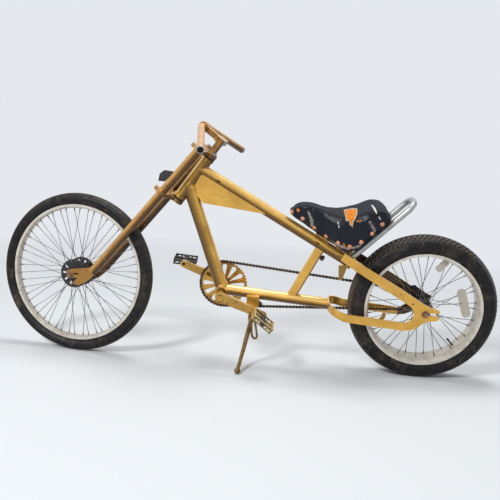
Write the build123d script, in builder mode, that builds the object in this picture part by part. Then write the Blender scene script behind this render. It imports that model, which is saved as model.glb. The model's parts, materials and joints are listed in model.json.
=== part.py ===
from build123d import *
import os
from math import asin, atan2, ceil, cos, degrees, hypot, pi, radians, sin, sqrt

# Chopper bicycle with a long raked fork, a fat rear tyre and a studded saddle.
# Every piece is drawn upright in the bicycle's own frame: X runs from front to
# rear, Y from left to right and Z up, with the origin on the ground under the
# rear axle. The finished pieces are then steered, leaned over on the side stand
# and set down with both tyres and the stand's foot on the floor.

os.makedirs("parts", exist_ok=True)

# Stance, in millimetres and degrees
lean_angle = 8.0
steer_angle = 13.8
stand_foot_ahead = 388.0
stand_foot_outward = 171.0

# Fits shared by all pieces
weld_gap = 0.2
running_gap = 0.05

# Rear wheel, 20 inch with a fat tyre
rear_rim_radius = 215.0
rear_rim_width = 96.0
rear_rim_depth = 17.0
rear_tyre_height = 58.0
rear_tyre_width = 104.0
rear_tyre_crown = 46.0
rear_spoke_count = 36
rear_spoke_angle = 38.0
rear_flange_spacing = 76.0
rear_flange_radius = 31.0
rear_hub_radius = 19.0
rear_hub_length = 130.0
rear_axle_radius = 5.0

# Front wheel, 24 inch
front_rim_radius = 259.0
front_rim_width = 32.0
front_rim_depth = 14.0
front_tyre_height = 42.0
front_tyre_width = 50.0
front_tyre_crown = 24.0
front_spoke_count = 52
front_spoke_angle = 42.0
front_flange_spacing = 62.0
front_hub_radius = 22.0
front_hub_length = 78.0
front_axle_radius = 5.0
hub_disc_radius = 54.0
hub_slot_count = 10

# Shared by both wheels
rim_wall = 3.0
spoke_radius = 1.2
flange_thickness = 3.0
shoulder_angle = 34.0
bead_share = 0.80
widest_share = 0.50
spoke_foot_share = 0.16
spoke_end_share = 0.3

# Frame points, each ahead of the rear tyre's foremost point and above its height
head_ahead = 590.5
head_above = 426.0
leg_ahead = 727.0
leg_above = 317.0
bracket_ahead = 468.0
bracket_above = 12.0
backbone_end_ahead = 17.0
backbone_end_above = 157.0
lower_tube_end_ahead = 75.0
lower_tube_end_above = -15.0
seat_tube_top_ahead = 112.0
seat_tube_foot_ahead = 215.0
panel_tail_ahead = 327.0
upper_stay_ahead = 39.0
upper_stay_above = 189.0
stand_pivot_ahead = 351.0
stand_pivot_above = -81.0
stand_knee_ahead = 377.0
stand_knee_above = -199.0
saddle_nose_ahead = 247.0
saddle_base_above = 211.0

# Steering head
head_rake = 34.0
head_tube_radius = 21.0
head_tube_length = 160.0
head_cup_radius = 24.0
head_cup_height = 9.0
steerer_radius = 13.0
clamp_clearance = 7.0
clamp_thickness = 13.0
clamp_ear_radius = 24.0
clamp_arm_width = 26.0
clamp_boss_radius = 9.0
clamp_boss_reach = 25.0

# Fork
leg_rake = 38.5
leg_spacing = 114.0
leg_radius = 15.5
leg_top_above_clamp = 14.0
leg_foot_rise = 21.0
axle_lead = 70.0
dropout_thickness = 6.0
axle_slot_gap = 0.3
reflector_rise = 137.0
reflector_reach = 36.0
reflector_width = 14.0

# Handlebar and its stem
bar_radius = 12.5
bar_bore_radius = 10.6
bar_bore_depth = 60.0
bar_half_width = 265.0
bar_sweep = 107.0
bar_drop_angle = 45.3
bar_rise = 166.0
bar_lead = 79.3
bar_bend_radius = 60.0
bar_centre_half = 36.0
post_depth = 16.0
post_width = 12.0
post_spacing = 40.0
stem_block_width = 62.0
stem_block_height = 20.0
stem_block_length = 34.0
stem_clamp_wall = 6.0
stem_clamp_width = 30.0
stem_neck_width = 24.0

# Frame tubes
bracket_radius = 21.0
bracket_width = 100.0
spindle_radius = 9.0
down_tube_radius = 24.0
down_tube_drop = 32.0
backbone_radius = 21.0
backbone_rise = 40.0
backbone_slot_length = 17.0
backbone_slot_height = 8.0
backbone_slots_ahead = (499.0, 130.0)
lower_tube_radius = 20.0
seat_tube_depth = 34.0
seat_tube_width = 26.0
panel_width = 38.0
panel_foot_behind = 56.4
panel_foot_below = 60.5
panel_front_share = 0.26
panel_tail_share = 0.62
tube_corner_share = 0.33

# Rear stays, cut from flat bar
stay_side_gap = 14.5
stay_thickness = 6.0
stay_height = 31.0
stay_kink_run = 47.0
stay_kink_inset = 16.0
yoke_corner_radius = 60.0
yoke_bend_drop = 22.0
dropout_size = 50.0
dropout_hole_radius = 4.5
bridge_thickness = 10.0
bridge_height = 46.0
bridge_rise = 12.0
bridge_half_width = 66.0
bridge_corner_share = 0.2
tab_length = 76.0
tab_width = 12.0
hook_width = 12.0
hook_height = 46.0
hook_place_share = 2.0

# Drive
chain_side_gap = 5.5
chain_pitch = 12.7
ring_teeth = 44
sprocket_teeth = 18
tooth_height = 4.0
tooth_thickness = 2.2
tooth_gap = 0.3
ring_hole_count = 12
chain_width = 7.0
chain_plate_half = 4.6
chain_waist_half = 3.2
guard_gap = 2.0
guard_length = 62.0
crank_length = 170.0
crank_angle = 20.2
crank_side_gap = 23.0
crank_thickness = 14.0
crank_boss_radius = 18.0
crank_end_radius = 13.0
pedal_gap = 7.0
pedal_length = 90.0
pedal_reach = 80.0
pedal_height = 20.0
pedal_plate = 4.0
pedal_tooth_count = 8
pedal_tooth_height = 3.5
pedal_tooth_share = 0.5
pedal_barrel_radius = 11.0
pedal_axle_radius = 6.0
pedal_tilt = 38.0

# Saddle and hoop
saddle_length = 376.0
saddle_height = 164.0
saddle_width = 210.0
saddle_gap = 0.3
saddle_pan_thickness = 4.0
saddle_pan_width = 76.0
saddle_post_length = 22.0
saddle_post_drop = 34.0
hoop_radius = 11.0
hoop_gap = 1.5
hoop_half_width = 52.0
hoop_corner_radius = 36.0
hoop_foot_run = 58.0
hoop_overreach = 86.0

# Side stand
stand_pivot_outward = 46.0
stand_knee_outward = 84.0
stand_leg_radius = 8.5
stand_foot_radius = 11.0
stand_foot_length = 30.0
stand_pin_radius = 5.0
stand_knuckle_radius = 13.0
stand_knuckle_width = 14.0
stand_lug_thickness = 5.0
pin_head_share = 1.7
stand_block_length = 46.0
stand_block_height = 34.0

# Saddle outline. columns: share of its length from the nose, share of its height
saddle_top_shares = (
    (0.011, 0.707), (0.080, 0.890), (0.447, 0.780), (0.649, 0.841), (0.838, 1.0), (0.995, 0.780),
)
saddle_foot_shares = ((0.697, 0.073), (0.553, 0), (0.287, 0.305), (0.027, 0.659))
# Saddle plan. columns: share of its length from the nose, share of its half width
saddle_plan_shares = (
    (0, 0.17), (0.053, 0.33), (0.32, 0.5), (0.585, 1.0), (0.904, 1.0), (1.0, 0.67),
)
saddle_post_shares = (0.383, 0.522)

# Rear dropout round the axle. columns: share of its size rearward, share upward
dropout_top_shares = (
    (-1.98, 1.82), (-0.84, 1.14), (-0.18, 0.76), (0.48, 0.48), (0.92, 0.38), (1.04, 0.24),
    (0.98, 0.12), (0.92, -0.12), (1.02, -0.26), (0.92, -0.44), (0.22, -0.56), (-0.10, -0.72),
    (-0.44, -1.08), (-0.86, -1.28), (-1.42, -1.38),
)
dropout_throat_shares = (
    (-1.42, -0.78), (-1.24, -0.72), (-0.92, -0.50), (-0.80, -0.16), (-0.88, 0.24), (-1.14, 0.54),
    (-1.68, 0.86),
)
dropout_hole_share = (-0.94, 0.70)

# Tab below the bridge. columns: share of its width rearward, share of its length down
tab_shares = ((-1.0, 0.25), (0.8, 0), (-1.0, 1.0), (-2.0, 1.0), (-2.4, 0.28))

# Front dropout ahead of each leg. columns: share of the axle's lead rearward, share upward
fork_plate_shares = (
    (-0.23, 0.21), (0.15, 0.33), (0.93, 0.46), (1.32, 0.63), (1.43, 0.29), (1.20, -0.03),
    (0.89, -0.31), (0.46, -0.53), (0.11, -0.46), (0.40, -0.13), (0.09, -0.17), (-0.20, -0.14),
)
fork_slot_shares = (0.33, 0.08)

# Slot in the front hub's discs. columns: share of the disc's radius outward, share across
hub_slot_shares = (
    (-0.14, 0), (-0.09, 0.065), (0.09, 0.075), (0.15, 0), (0.09, -0.075), (-0.09, -0.065),
)
hub_slot_share = 0.72

# Chainring hole. columns: share of the pitch radius outward, share across
teardrop_shares = (
    (-0.52, 0.012), (-0.08, 0.088), (0, 0.102), (0.06, 0.078), (0.09, 0),
    (0.06, -0.078), (0, -0.102), (-0.08, -0.088), (-0.52, -0.012),
)
teardrop_centre_share = 0.80

# Reflector bracket ahead of the left leg. columns: share of its reach forward, share upward
reflector_shares = (
    (0, -0.2), (0, 0.55), (0.72, 0.62), (1.0, 0.36), (0.9, -0.62), (0.56, -0.68), (0.62, 0.1),
    (0.2, 0.02),
)

# Chain guard ahead of the rear axle. columns: share of its length rearward, share upward
guard_shares = (
    (-1.08, 0.98), (-0.96, 1.5), (-0.4, 1.56), (-0.06, 1.2), (-0.06, 0.76), (-0.5, 0.72),
)

# Bent hook on the lower stay. columns: share of its height rearward, share upward
hook_shares = (
    (0, 0), (0.24, 0), (0.26, 0.36), (0.5, 0.62), (0.5, 1.0), (0.26, 1.0), (0.24, 0.68), (0, 0.42),
)

# Worked-out places
rear_tyre_radius = rear_rim_radius + rear_tyre_height
front_tyre_radius = front_rim_radius + front_tyre_height
chainline = rear_tyre_width / 2 + chain_side_gap + chain_width / 2
stay_offset = chainline + chain_width / 2 + stay_side_gap
crank_offset = chainline + crank_side_gap
across = Vector(0, 1, 0)


def frame_point(ahead, above, outward=0):
    """A point in the upright frame, measured from the rear tyre's foremost point."""
    return Vector(-rear_tyre_radius - ahead, -outward, rear_tyre_radius + above)


def scaled(shares, size):
    """The points of a share table at a size."""
    return [(first * size, second * size) for first, second in shares]


rear_hub = Vector(0, 0, rear_tyre_radius)
head_point = frame_point(head_ahead, head_above)
leg_point = frame_point(leg_ahead, leg_above)
bracket_point = frame_point(bracket_ahead, bracket_above)
head_up = Vector(sin(radians(head_rake)), 0, cos(radians(head_rake)))
head_back = Vector(cos(radians(head_rake)), 0, -sin(radians(head_rake)))
leg_up = Vector(sin(radians(leg_rake)), 0, cos(radians(leg_rake)))
leg_back = Vector(cos(radians(leg_rake)), 0, -sin(radians(leg_rake)))
leg_foot = leg_point + leg_up * ((front_tyre_radius - leg_point.Z) / leg_up.Z)
front_hub = leg_foot - Vector(axle_lead, 0, 0)
wheelbase = -front_hub.X

head_frame = Plane(origin=head_point, x_dir=head_back, z_dir=head_up)
leg_frame = Plane(origin=leg_point, x_dir=leg_back, z_dir=leg_up)
bracket_frame = Plane(origin=bracket_point, x_dir=(1, 0, 0), z_dir=(0, -1, 0))

clamp_height = head_tube_length / 2 + head_cup_height + clamp_clearance
ring_pitch_radius = chain_pitch / (2 * sin(pi / ring_teeth))
sprocket_pitch_radius = chain_pitch / (2 * sin(pi / sprocket_teeth))


def leg_centre_behind(height):
    """How far behind the steering axis the legs' line is, at a height along that axis."""
    start = head_point + head_up * height
    gap = start - leg_point
    along = gap.dot(leg_up)
    offset = gap - leg_up * along
    return -offset.length / head_back.dot(leg_back)


def tyre_floor(place, hub, tyre_radius, crown_radius):
    """Height of a tyre's lowest point after a place has been applied."""
    centre = (place * Location(hub)).position
    side = (place * Location(hub + across)).position - centre
    middle = tyre_radius - crown_radius
    return centre.Z - middle * sqrt(1 - side.Z**2) - crown_radius


# The parked stance: steered, leaned to the left, then levelled on both tyres
steered = (
    Location(head_point)
    * Location((0, 0, 0), tuple(head_up), -steer_angle)
    * Location(-head_point)
)
leaned = Location((0, 0, 0), (lean_angle, 0, 0))
rear_floor = tyre_floor(leaned, rear_hub, rear_tyre_radius, rear_tyre_crown)
front_floor = tyre_floor(leaned * steered, front_hub, front_tyre_radius, front_tyre_crown)
level_angle = degrees(asin((rear_floor - front_floor) / wheelbase))
levelled = Location((0, 0, 0), (0, level_angle, 0)) * leaned
rear_floor = tyre_floor(levelled, rear_hub, rear_tyre_radius, rear_tyre_crown)
parked = Location((0, 0, -rear_floor)) * levelled
parked_steering = parked * steered

stand_pivot = frame_point(stand_pivot_ahead, stand_pivot_above, stand_pivot_outward)
stand_knee = frame_point(stand_knee_ahead, stand_knee_above, stand_knee_outward)
foot_place = parked.inverse() * Location(
    (-rear_tyre_radius - stand_foot_ahead, -stand_foot_outward, stand_foot_radius)
)
stand_foot = foot_place.position

pieces = []


def finish(piece, label, place):
    """Move a finished piece to its parked place, label it and keep it for writing."""
    piece.part = piece.part.moved(place)
    piece.part.label = label
    pieces.append(piece)


def section_plane(hub):
    """Plane through a wheel's axle for its section: across, then outward."""
    return Plane(origin=hub, x_dir=(0, 1, 0), z_dir=(1, 0, 0))


def wheel_plane(hub):
    """Plane of a wheel, seen from its left side."""
    return Plane(origin=hub, x_dir=(1, 0, 0), z_dir=(0, -1, 0))


def between(start, end):
    """Plane at a start point that faces an end point, and the distance to it."""
    run = end - start
    return Plane(origin=start, z_dir=run), run.length


# Wheels. columns: name, hub, place, tyre radius, tyre width, crown, rim radius, rim width, rim depth
wheels = (
    ("rear", rear_hub, parked, rear_tyre_radius, rear_tyre_width, rear_tyre_crown,
     rear_rim_radius, rear_rim_width, rear_rim_depth),
    ("front", front_hub, parked_steering, front_tyre_radius, front_tyre_width, front_tyre_crown,
     front_rim_radius, front_rim_width, front_rim_depth),
)
for wheel, hub, place, tyre_radius, tyre_width, crown, rim_radius, rim_width, rim_depth in wheels:
    axle_axis = Axis(hub, (0, 1, 0))
    bead_half = rim_width / 2 - rim_wall - weld_gap
    bead_radius = rim_radius - rim_wall * 2
    shoulder_y = crown * sin(radians(shoulder_angle))
    shoulder_r = tyre_radius - crown * (1 - cos(radians(shoulder_angle)))
    widest_r = bead_radius + (tyre_radius - bead_radius) * widest_share

    crown_side = crown * sin(radians(shoulder_angle / 2))
    crown_drop = crown * (1 - cos(radians(shoulder_angle / 2)))
    with BuildPart() as tyre:
        with BuildSketch(section_plane(hub)):
            with BuildLine():
                Polyline(
                    (0, bead_radius),
                    (bead_half * bead_share, bead_radius),
                    (bead_half, rim_radius),
                    (tyre_width / 2, widest_r),
                    (shoulder_y, shoulder_r),
                    (crown_side, tyre_radius - crown_drop),
                    (0, tyre_radius),
                )
                mirror(about=Plane.YZ)
            make_face()
        revolve(axis=axle_axis)
    finish(tyre, f"{wheel}_tyre", place)

    # The rim is a rolled channel: two flanges beside the tyre's beads and a shallow well
    well_half = rim_width / 2 * widest_share
    flange_foot = rim_radius - rim_wall * 2 - weld_gap
    with BuildPart() as rim:
        with BuildSketch(section_plane(hub)):
            Polygon(
                (-rim_width / 2, rim_radius),
                (-rim_width / 2, flange_foot - rim_wall),
                (-well_half, rim_radius - rim_depth),
                (well_half, rim_radius - rim_depth),
                (rim_width / 2, flange_foot - rim_wall),
                (rim_width / 2, rim_radius),
                (rim_width / 2 - rim_wall, rim_radius),
                (rim_width / 2 - rim_wall, flange_foot),
                (-rim_width / 2 + rim_wall, flange_foot),
                (-rim_width / 2 + rim_wall, rim_radius),
                align=None,
            )
        revolve(axis=axle_axis)
    finish(rim, f"{wheel}_rim", place)


def spoke_planes(hub, count, angle, hub_radius, flange_half, rim_radius, rim_half):
    """Planes at the hub ends of all spokes, each facing its nipple, and the spokes' length.

    Spokes alternate between the two flanges and between leading and trailing, and
    each crosses its neighbours on the other face of its own flange.
    """
    planes = []
    length = 0
    for index in range(count):
        side = -1 if index % 2 else 1
        lead = -1 if index % 4 // 2 else 1
        rim_turn = 2 * pi * index / count
        hub_turn = rim_turn + lead * radians(angle)
        reach_y = side * (flange_half + lead * (flange_thickness / 2 + spoke_radius * 1.7))
        start = hub + Vector(hub_radius * cos(hub_turn), reach_y, hub_radius * sin(hub_turn))
        end = hub + Vector(rim_radius * cos(rim_turn), side * rim_half, rim_radius * sin(rim_turn))
        plane, length = between(start, end)
        planes.append(plane)
    return planes, length


# Spokes. columns: name, hub, place, count, crossing angle, hole radius, flange spacing, rim inside
spoke_sets = (
    ("rear_spokes", rear_hub, parked, rear_spoke_count, rear_spoke_angle,
     rear_flange_radius - flange_thickness, rear_flange_spacing,
     rear_rim_radius - rear_rim_depth - weld_gap, rear_rim_width * spoke_foot_share),
    ("front_spokes", front_hub, parked_steering, front_spoke_count, front_spoke_angle,
     hub_disc_radius - flange_thickness, front_flange_spacing,
     front_rim_radius - front_rim_depth - weld_gap, front_rim_width * spoke_foot_share),
)
for label, hub, place, count, angle, hole_radius, spacing, rim_inside, rim_half in spoke_sets:
    planes, length = spoke_planes(hub, count, angle, hole_radius, spacing / 2, rim_inside, rim_half)
    with BuildPart() as spokes:
        with BuildSketch(*planes):
            RegularPolygon(spoke_radius, 6)
        extrude(amount=length - spoke_radius * spoke_end_share)
    finish(spokes, label, place)

# Rear hub: barrel, two spoke flanges and the boss that carries the sprocket
with BuildPart() as rear_hub_shell:
    with BuildSketch(section_plane(rear_hub)):
        with BuildLine():
            Polyline(
                (-rear_hub_length / 2, rear_axle_radius + running_gap),
                (-rear_hub_length / 2, rear_hub_radius * 0.7),
                (-rear_flange_spacing / 2 - flange_thickness, rear_hub_radius),
                (rear_hub_length / 2, rear_hub_radius),
                (rear_hub_length / 2, rear_axle_radius + running_gap),
                close=True,
            )
        make_face()
    revolve(axis=Axis(rear_hub, (0, 1, 0)))
    for side in (-1, 1):
        flange_y = side * rear_flange_spacing / 2 - flange_thickness / 2
        with BuildSketch(wheel_plane(rear_hub).offset(flange_y)):
            Circle(rear_flange_radius)
            Circle(rear_hub_radius - weld_gap, mode=Mode.SUBTRACT)
        extrude(amount=flange_thickness)
finish(rear_hub_shell, "rear_hub", parked)

# Front hub: a drum with a pierced disc outside each spoke flange
with BuildPart() as front_hub_shell:
    with BuildSketch(wheel_plane(front_hub).offset(-front_hub_length / 2)):
        Circle(front_hub_radius)
        Circle(front_axle_radius + running_gap, mode=Mode.SUBTRACT)
    extrude(amount=front_hub_length)
    for side in (-1, 1):
        disc_y = side * front_flange_spacing / 2 - flange_thickness / 2
        with BuildSketch(wheel_plane(front_hub).offset(disc_y)):
            Circle(hub_disc_radius)
            Circle(front_hub_radius - weld_gap, mode=Mode.SUBTRACT)
            with PolarLocations(hub_disc_radius * hub_slot_share, hub_slot_count):
                Polygon(*scaled(hub_slot_shares, hub_disc_radius), align=None, mode=Mode.SUBTRACT)
        extrude(amount=flange_thickness)
finish(front_hub_shell, "front_hub", parked_steering)


def tooth_outline(teeth, pitch_radius):
    """Draw a toothed disc in the open sketch: a root circle with a tapered tooth per pitch."""
    root_radius = pitch_radius - tooth_height * 0.75
    Circle(root_radius)
    with PolarLocations(root_radius, teeth):
        Polygon(
            (-tooth_height / 2, -chain_pitch * 0.3),
            (tooth_height, -chain_pitch * 0.1),
            (tooth_height, chain_pitch * 0.1),
            (-tooth_height / 2, chain_pitch * 0.3),
            align=None,
        )


# The rear sprocket sits on the hub's boss, on the chainline
with BuildPart() as rear_sprocket:
    with BuildSketch(wheel_plane(rear_hub).offset(-chainline - tooth_thickness / 2)):
        tooth_outline(sprocket_teeth, sprocket_pitch_radius)
        Circle(rear_hub_radius + weld_gap, mode=Mode.SUBTRACT)
    extrude(amount=tooth_thickness)
finish(rear_sprocket, "rear_sprocket", parked)

# Axles with a nut and a washer outside each plate. columns: name, hub, place, radius, plate face
axles = (
    ("rear_axle", rear_hub, parked, rear_axle_radius, stay_offset + stay_thickness),
    ("front_axle", front_hub, parked_steering, front_axle_radius,
     leg_spacing / 2 + dropout_thickness / 2),
)
washer_thickness = 3.0
washer_share = 2.6
nut_thickness = 9.0
nut_share = 1.9
axle_tail_share = 1.7
for label, hub, place, radius, plate_face in axles:
    half_length = plate_face + washer_thickness + nut_thickness * axle_tail_share
    with BuildPart() as axle:
        with BuildSketch(wheel_plane(hub).offset(-half_length)):
            Circle(radius)
        extrude(amount=half_length * 2)
        for side in (-1, 1):
            washer_face = plate_face if side > 0 else -plate_face - washer_thickness
            nut_face = washer_face + washer_thickness if side > 0 else washer_face - nut_thickness
            with BuildSketch(wheel_plane(hub).offset(washer_face)):
                Circle(radius * washer_share)
            extrude(amount=washer_thickness)
            with BuildSketch(wheel_plane(hub).offset(nut_face)):
                RegularPolygon(radius * nut_share, 6)
            extrude(amount=nut_thickness)
    finish(axle, label, place)

# Head tube with its two bearing cups
with BuildPart() as head_tube:
    with BuildSketch(head_frame.offset(-head_tube_length / 2)):
        Circle(head_tube_radius)
        Circle(steerer_radius + running_gap, mode=Mode.SUBTRACT)
    extrude(amount=head_tube_length)
    for cup_base in (-head_tube_length / 2 - head_cup_height, head_tube_length / 2):
        with BuildSketch(head_frame.offset(cup_base)):
            Circle(head_cup_radius)
            Circle(steerer_radius + running_gap, mode=Mode.SUBTRACT)
        extrude(amount=head_cup_height)
finish(head_tube, "head_tube", parked)

# Bottom bracket shell
with BuildPart() as bracket_shell:
    with BuildSketch(bracket_frame.offset(-bracket_width / 2)):
        Circle(bracket_radius)
        Circle(spindle_radius + running_gap, mode=Mode.SUBTRACT)
    extrude(amount=bracket_width)
finish(bracket_shell, "bottom_bracket", parked)


down_tube_start = head_point - head_up * down_tube_drop
backbone_start = head_point + head_up * backbone_rise
backbone_end = frame_point(backbone_end_ahead, backbone_end_above)
lower_tube_end = frame_point(lower_tube_end_ahead, lower_tube_end_above)
backbone_slope = (backbone_end.Z - backbone_start.Z) / (backbone_end.X - backbone_start.X)
lower_slope = (lower_tube_end.Z - bracket_point.Z) / (lower_tube_end.X - bracket_point.X)


def on_backbone(ahead, outward=0):
    """A point on the backbone's middle line."""
    x = -rear_tyre_radius - ahead
    return Vector(x, -outward, backbone_start.Z + backbone_slope * (x - backbone_start.X))


def on_lower_tube(ahead, outward=0):
    """A point on the lower tube's middle line."""
    x = -rear_tyre_radius - ahead
    return Vector(x, -outward, bracket_point.Z + lower_slope * (x - bracket_point.X))


down_plane, down_length = between(down_tube_start, bracket_point)
backbone_plane, backbone_length = between(backbone_start, backbone_end)
lower_plane, lower_length = between(bracket_point, lower_tube_end)

# Cores: the solid space of each tube, cut from the pieces that are coped round it
with BuildPart() as head_core:
    with BuildSketch(head_frame.offset(-head_tube_length / 2)):
        Circle(head_tube_radius + weld_gap)
    extrude(amount=head_tube_length)

with BuildPart() as bracket_core:
    with BuildSketch(bracket_frame.offset(-bracket_width / 2)):
        Circle(bracket_radius + weld_gap)
    extrude(amount=bracket_width)

with BuildPart() as down_core:
    with BuildSketch(down_plane):
        Circle(down_tube_radius + weld_gap)
    extrude(amount=down_length)

with BuildPart() as backbone_core:
    with BuildSketch(backbone_plane):
        Circle(backbone_radius + weld_gap)
    extrude(amount=backbone_length)

with BuildPart() as lower_core:
    with BuildSketch(lower_plane):
        Circle(lower_tube_radius + weld_gap)
    extrude(amount=lower_length)

# Down tube
with BuildPart() as down_tube:
    with BuildSketch(down_plane):
        Circle(down_tube_radius)
    extrude(amount=down_length)
    add(head_core.part, mode=Mode.SUBTRACT)
    add(bracket_core.part, mode=Mode.SUBTRACT)
finish(down_tube, "down_tube", parked)

# Backbone, with the two cable slots in its left side
with BuildPart() as backbone:
    with BuildSketch(backbone_plane):
        Circle(backbone_radius)
    extrude(amount=backbone_length)
    add(head_core.part, mode=Mode.SUBTRACT)
    add(down_core.part, mode=Mode.SUBTRACT)
    for slot_ahead in backbone_slots_ahead:
        slot_point = on_backbone(slot_ahead, backbone_radius)
        with BuildSketch(Plane(origin=slot_point, x_dir=backbone_plane.z_dir, z_dir=(0, -1, 0))):
            SlotOverall(backbone_slot_length, backbone_slot_height)
        extrude(amount=-backbone_radius, mode=Mode.SUBTRACT)
finish(backbone, "backbone", parked)

# Side panel: a box gusset between backbone and down tube, folded in towards the head
panel_top = on_backbone(panel_tail_ahead)
panel_tail = panel_top - Vector(0, 0, backbone_radius * panel_tail_share)
panel_foot = down_tube_start + Vector(panel_foot_behind, 0, -panel_foot_below)
fold_angle = atan2(panel_width * (1 - panel_front_share) / 2, panel_foot_behind)
with BuildPart() as side_panel:
    with BuildSketch(Plane.XZ):
        Polygon(
            (down_tube_start.X, down_tube_start.Z),
            (backbone_start.X, backbone_start.Z),
            (panel_top.X, panel_top.Z),
            (panel_tail.X, panel_tail.Z),
            (panel_foot.X, panel_foot.Z),
            align=None,
        )
    extrude(amount=panel_width / 2, both=True)
    for sign in (-1, 1):
        fold_normal = Vector(-sin(fold_angle), sign * cos(fold_angle), 0)
        fold_plane = Plane(
            origin=panel_foot + across * sign * panel_width / 2, x_dir=(0, 0, 1), z_dir=fold_normal
        )
        with BuildSketch(fold_plane):
            Rectangle(head_tube_length * 2, head_tube_length * 2)
        extrude(amount=panel_width, mode=Mode.SUBTRACT)
    add(head_core.part, mode=Mode.SUBTRACT)
    add(down_core.part, mode=Mode.SUBTRACT)
    add(backbone_core.part, mode=Mode.SUBTRACT)
finish(side_panel, "side_panel", parked)

# Lower tube
with BuildPart() as lower_tube:
    with BuildSketch(lower_plane):
        Circle(lower_tube_radius)
    extrude(amount=lower_length)
    add(bracket_core.part, mode=Mode.SUBTRACT)
    add(down_core.part, mode=Mode.SUBTRACT)
finish(lower_tube, "lower_tube", parked)

# Seat tube, flattened, between backbone and lower tube
seat_tube_top = on_backbone(seat_tube_top_ahead)
seat_tube_foot = on_lower_tube(seat_tube_foot_ahead)
seat_plane, seat_length = between(seat_tube_foot, seat_tube_top)
with BuildPart() as seat_tube:
    with BuildSketch(Plane(origin=seat_tube_foot, x_dir=(0, 1, 0), z_dir=seat_plane.z_dir)):
        RectangleRounded(seat_tube_width, seat_tube_depth, seat_tube_width * tube_corner_share)
    extrude(amount=seat_length)
    add(lower_core.part, mode=Mode.SUBTRACT)
    add(backbone_core.part, mode=Mode.SUBTRACT)
finish(seat_tube, "seat_tube", parked)

# Upper bridge: a plate across the backbone's end, with a tapered tab below it
bridge_plane = Plane(origin=backbone_end, x_dir=(0, 1, 0), z_dir=backbone_plane.z_dir)
with BuildPart() as bridge_core:
    with BuildSketch(bridge_plane):
        with Locations((0, bridge_rise)):
            RectangleRounded(
                bridge_half_width * 2 + weld_gap * 2, bridge_height, bridge_height * bridge_corner_share
            )
    extrude(amount=bridge_thickness)

with BuildPart() as upper_bridge:
    with BuildSketch(bridge_plane.offset(weld_gap)):
        with Locations((0, bridge_rise)):
            RectangleRounded(bridge_half_width * 2, bridge_height, bridge_height * bridge_corner_share)
    extrude(amount=bridge_thickness)
    with BuildSketch(Plane.XZ):
        Polygon(
            *[
                (backbone_end.X + run * tab_width, backbone_end.Z - drop * tab_length)
                for run, drop in tab_shares
            ],
            align=None,
        )
    extrude(amount=tab_width / 2, both=True)
    add(backbone_core.part, mode=Mode.SUBTRACT)
finish(upper_bridge, "upper_bridge", parked)

# Upper stays: flat bars from the bridge to the axle, each with its dropout in one piece
upper_stay_front = frame_point(upper_stay_ahead, upper_stay_above)
dropout_top = scaled(dropout_top_shares, dropout_size)
dropout_throat = scaled(dropout_throat_shares, dropout_size)
hub_point = (rear_hub.X, rear_hub.Z)
dropout_hole = (
    rear_hub.X + dropout_hole_share[0] * dropout_size,
    rear_hub.Z + dropout_hole_share[1] * dropout_size,
)
bar_run = Vector(*dropout_top[0]) + Vector(*hub_point) - Vector(upper_stay_front.X, upper_stay_front.Z)
bar_side = Vector(-bar_run.Y, bar_run.X).normalized() * stay_height / 2
front_end = Vector(upper_stay_front.X, upper_stay_front.Z)
slot_half = rear_axle_radius + axle_slot_gap
kink_x = front_end.X + stay_kink_run
for side, sign in (("left", 1), ("right", -1)):
    inner = stay_offset * sign
    outer = (stay_offset + stay_thickness) * sign
    inset = stay_kink_inset * sign
    with BuildPart() as upper_stay:
        with BuildSketch(Plane.XZ):
            Polygon(
                (front_end.X - bar_side.X, front_end.Y - bar_side.Y),
                (front_end.X + bar_side.X, front_end.Y + bar_side.Y),
                *[(rear_hub.X + x, rear_hub.Z + z) for x, z in dropout_top],
                *[(rear_hub.X + x, rear_hub.Z + z) for x, z in dropout_throat],
                align=None,
            )
            with Locations(hub_point):
                Circle(slot_half, mode=Mode.SUBTRACT)
            with Locations((rear_hub.X + dropout_size, rear_hub.Z)):
                Rectangle(dropout_size * 2, slot_half * 2, mode=Mode.SUBTRACT)
            with Locations(dropout_hole):
                RegularPolygon(dropout_hole_radius, 8, mode=Mode.SUBTRACT)
        extrude(amount=outer * 2)
        with BuildSketch(Plane.XY):
            Polygon(
                (dropout_size * 2, -inner),
                (kink_x, -inner),
                (kink_x - stay_kink_run * 2, inset * 2 - inner),
                (kink_x - stay_kink_run * 2, inset * 2 - outer),
                (kink_x, -outer),
                (dropout_size * 2, -outer),
                align=None,
            )
        extrude(amount=rear_tyre_radius * 3, mode=Mode.INTERSECT)
    finish(upper_stay, f"upper_stay_{side}", parked)

# Lower stays: one flat bar bent to a U round the front of the rear tyre
yoke_front = lower_tube_end.X + abs(lower_slope) * lower_tube_radius + weld_gap
yoke_bend = yoke_front + yoke_corner_radius
yoke_rear = rear_hub.X + dropout_throat[0][0] - weld_gap
bend_z = lower_tube_end.Z - yoke_bend_drop
yoke_length = (yoke_rear - yoke_front) * 2
with BuildPart() as lower_yoke:
    with BuildSketch(Plane.XZ):
        Polygon(
            (yoke_front - weld_gap, lower_tube_end.Z + stay_height / 2),
            (yoke_bend, bend_z + stay_height / 2),
            (yoke_rear, rear_hub.Z + dropout_throat[0][1]),
            (yoke_rear, rear_hub.Z + dropout_top[-1][1]),
            (yoke_bend, bend_z - stay_height / 2),
            (yoke_front - weld_gap, lower_tube_end.Z - stay_height / 2),
            align=None,
        )
    extrude(amount=stay_offset * 2, both=True)
    with BuildSketch(Plane.XY):
        with Locations((yoke_rear, 0)):
            RectangleRounded(yoke_length, (stay_offset + stay_thickness) * 2, yoke_corner_radius)
            RectangleRounded(
                yoke_length - stay_thickness * 2,
                stay_offset * 2,
                yoke_corner_radius - stay_thickness,
                mode=Mode.SUBTRACT,
            )
    extrude(amount=rear_tyre_radius * 3, mode=Mode.INTERSECT)
finish(lower_yoke, "lower_yoke", parked)

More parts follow.
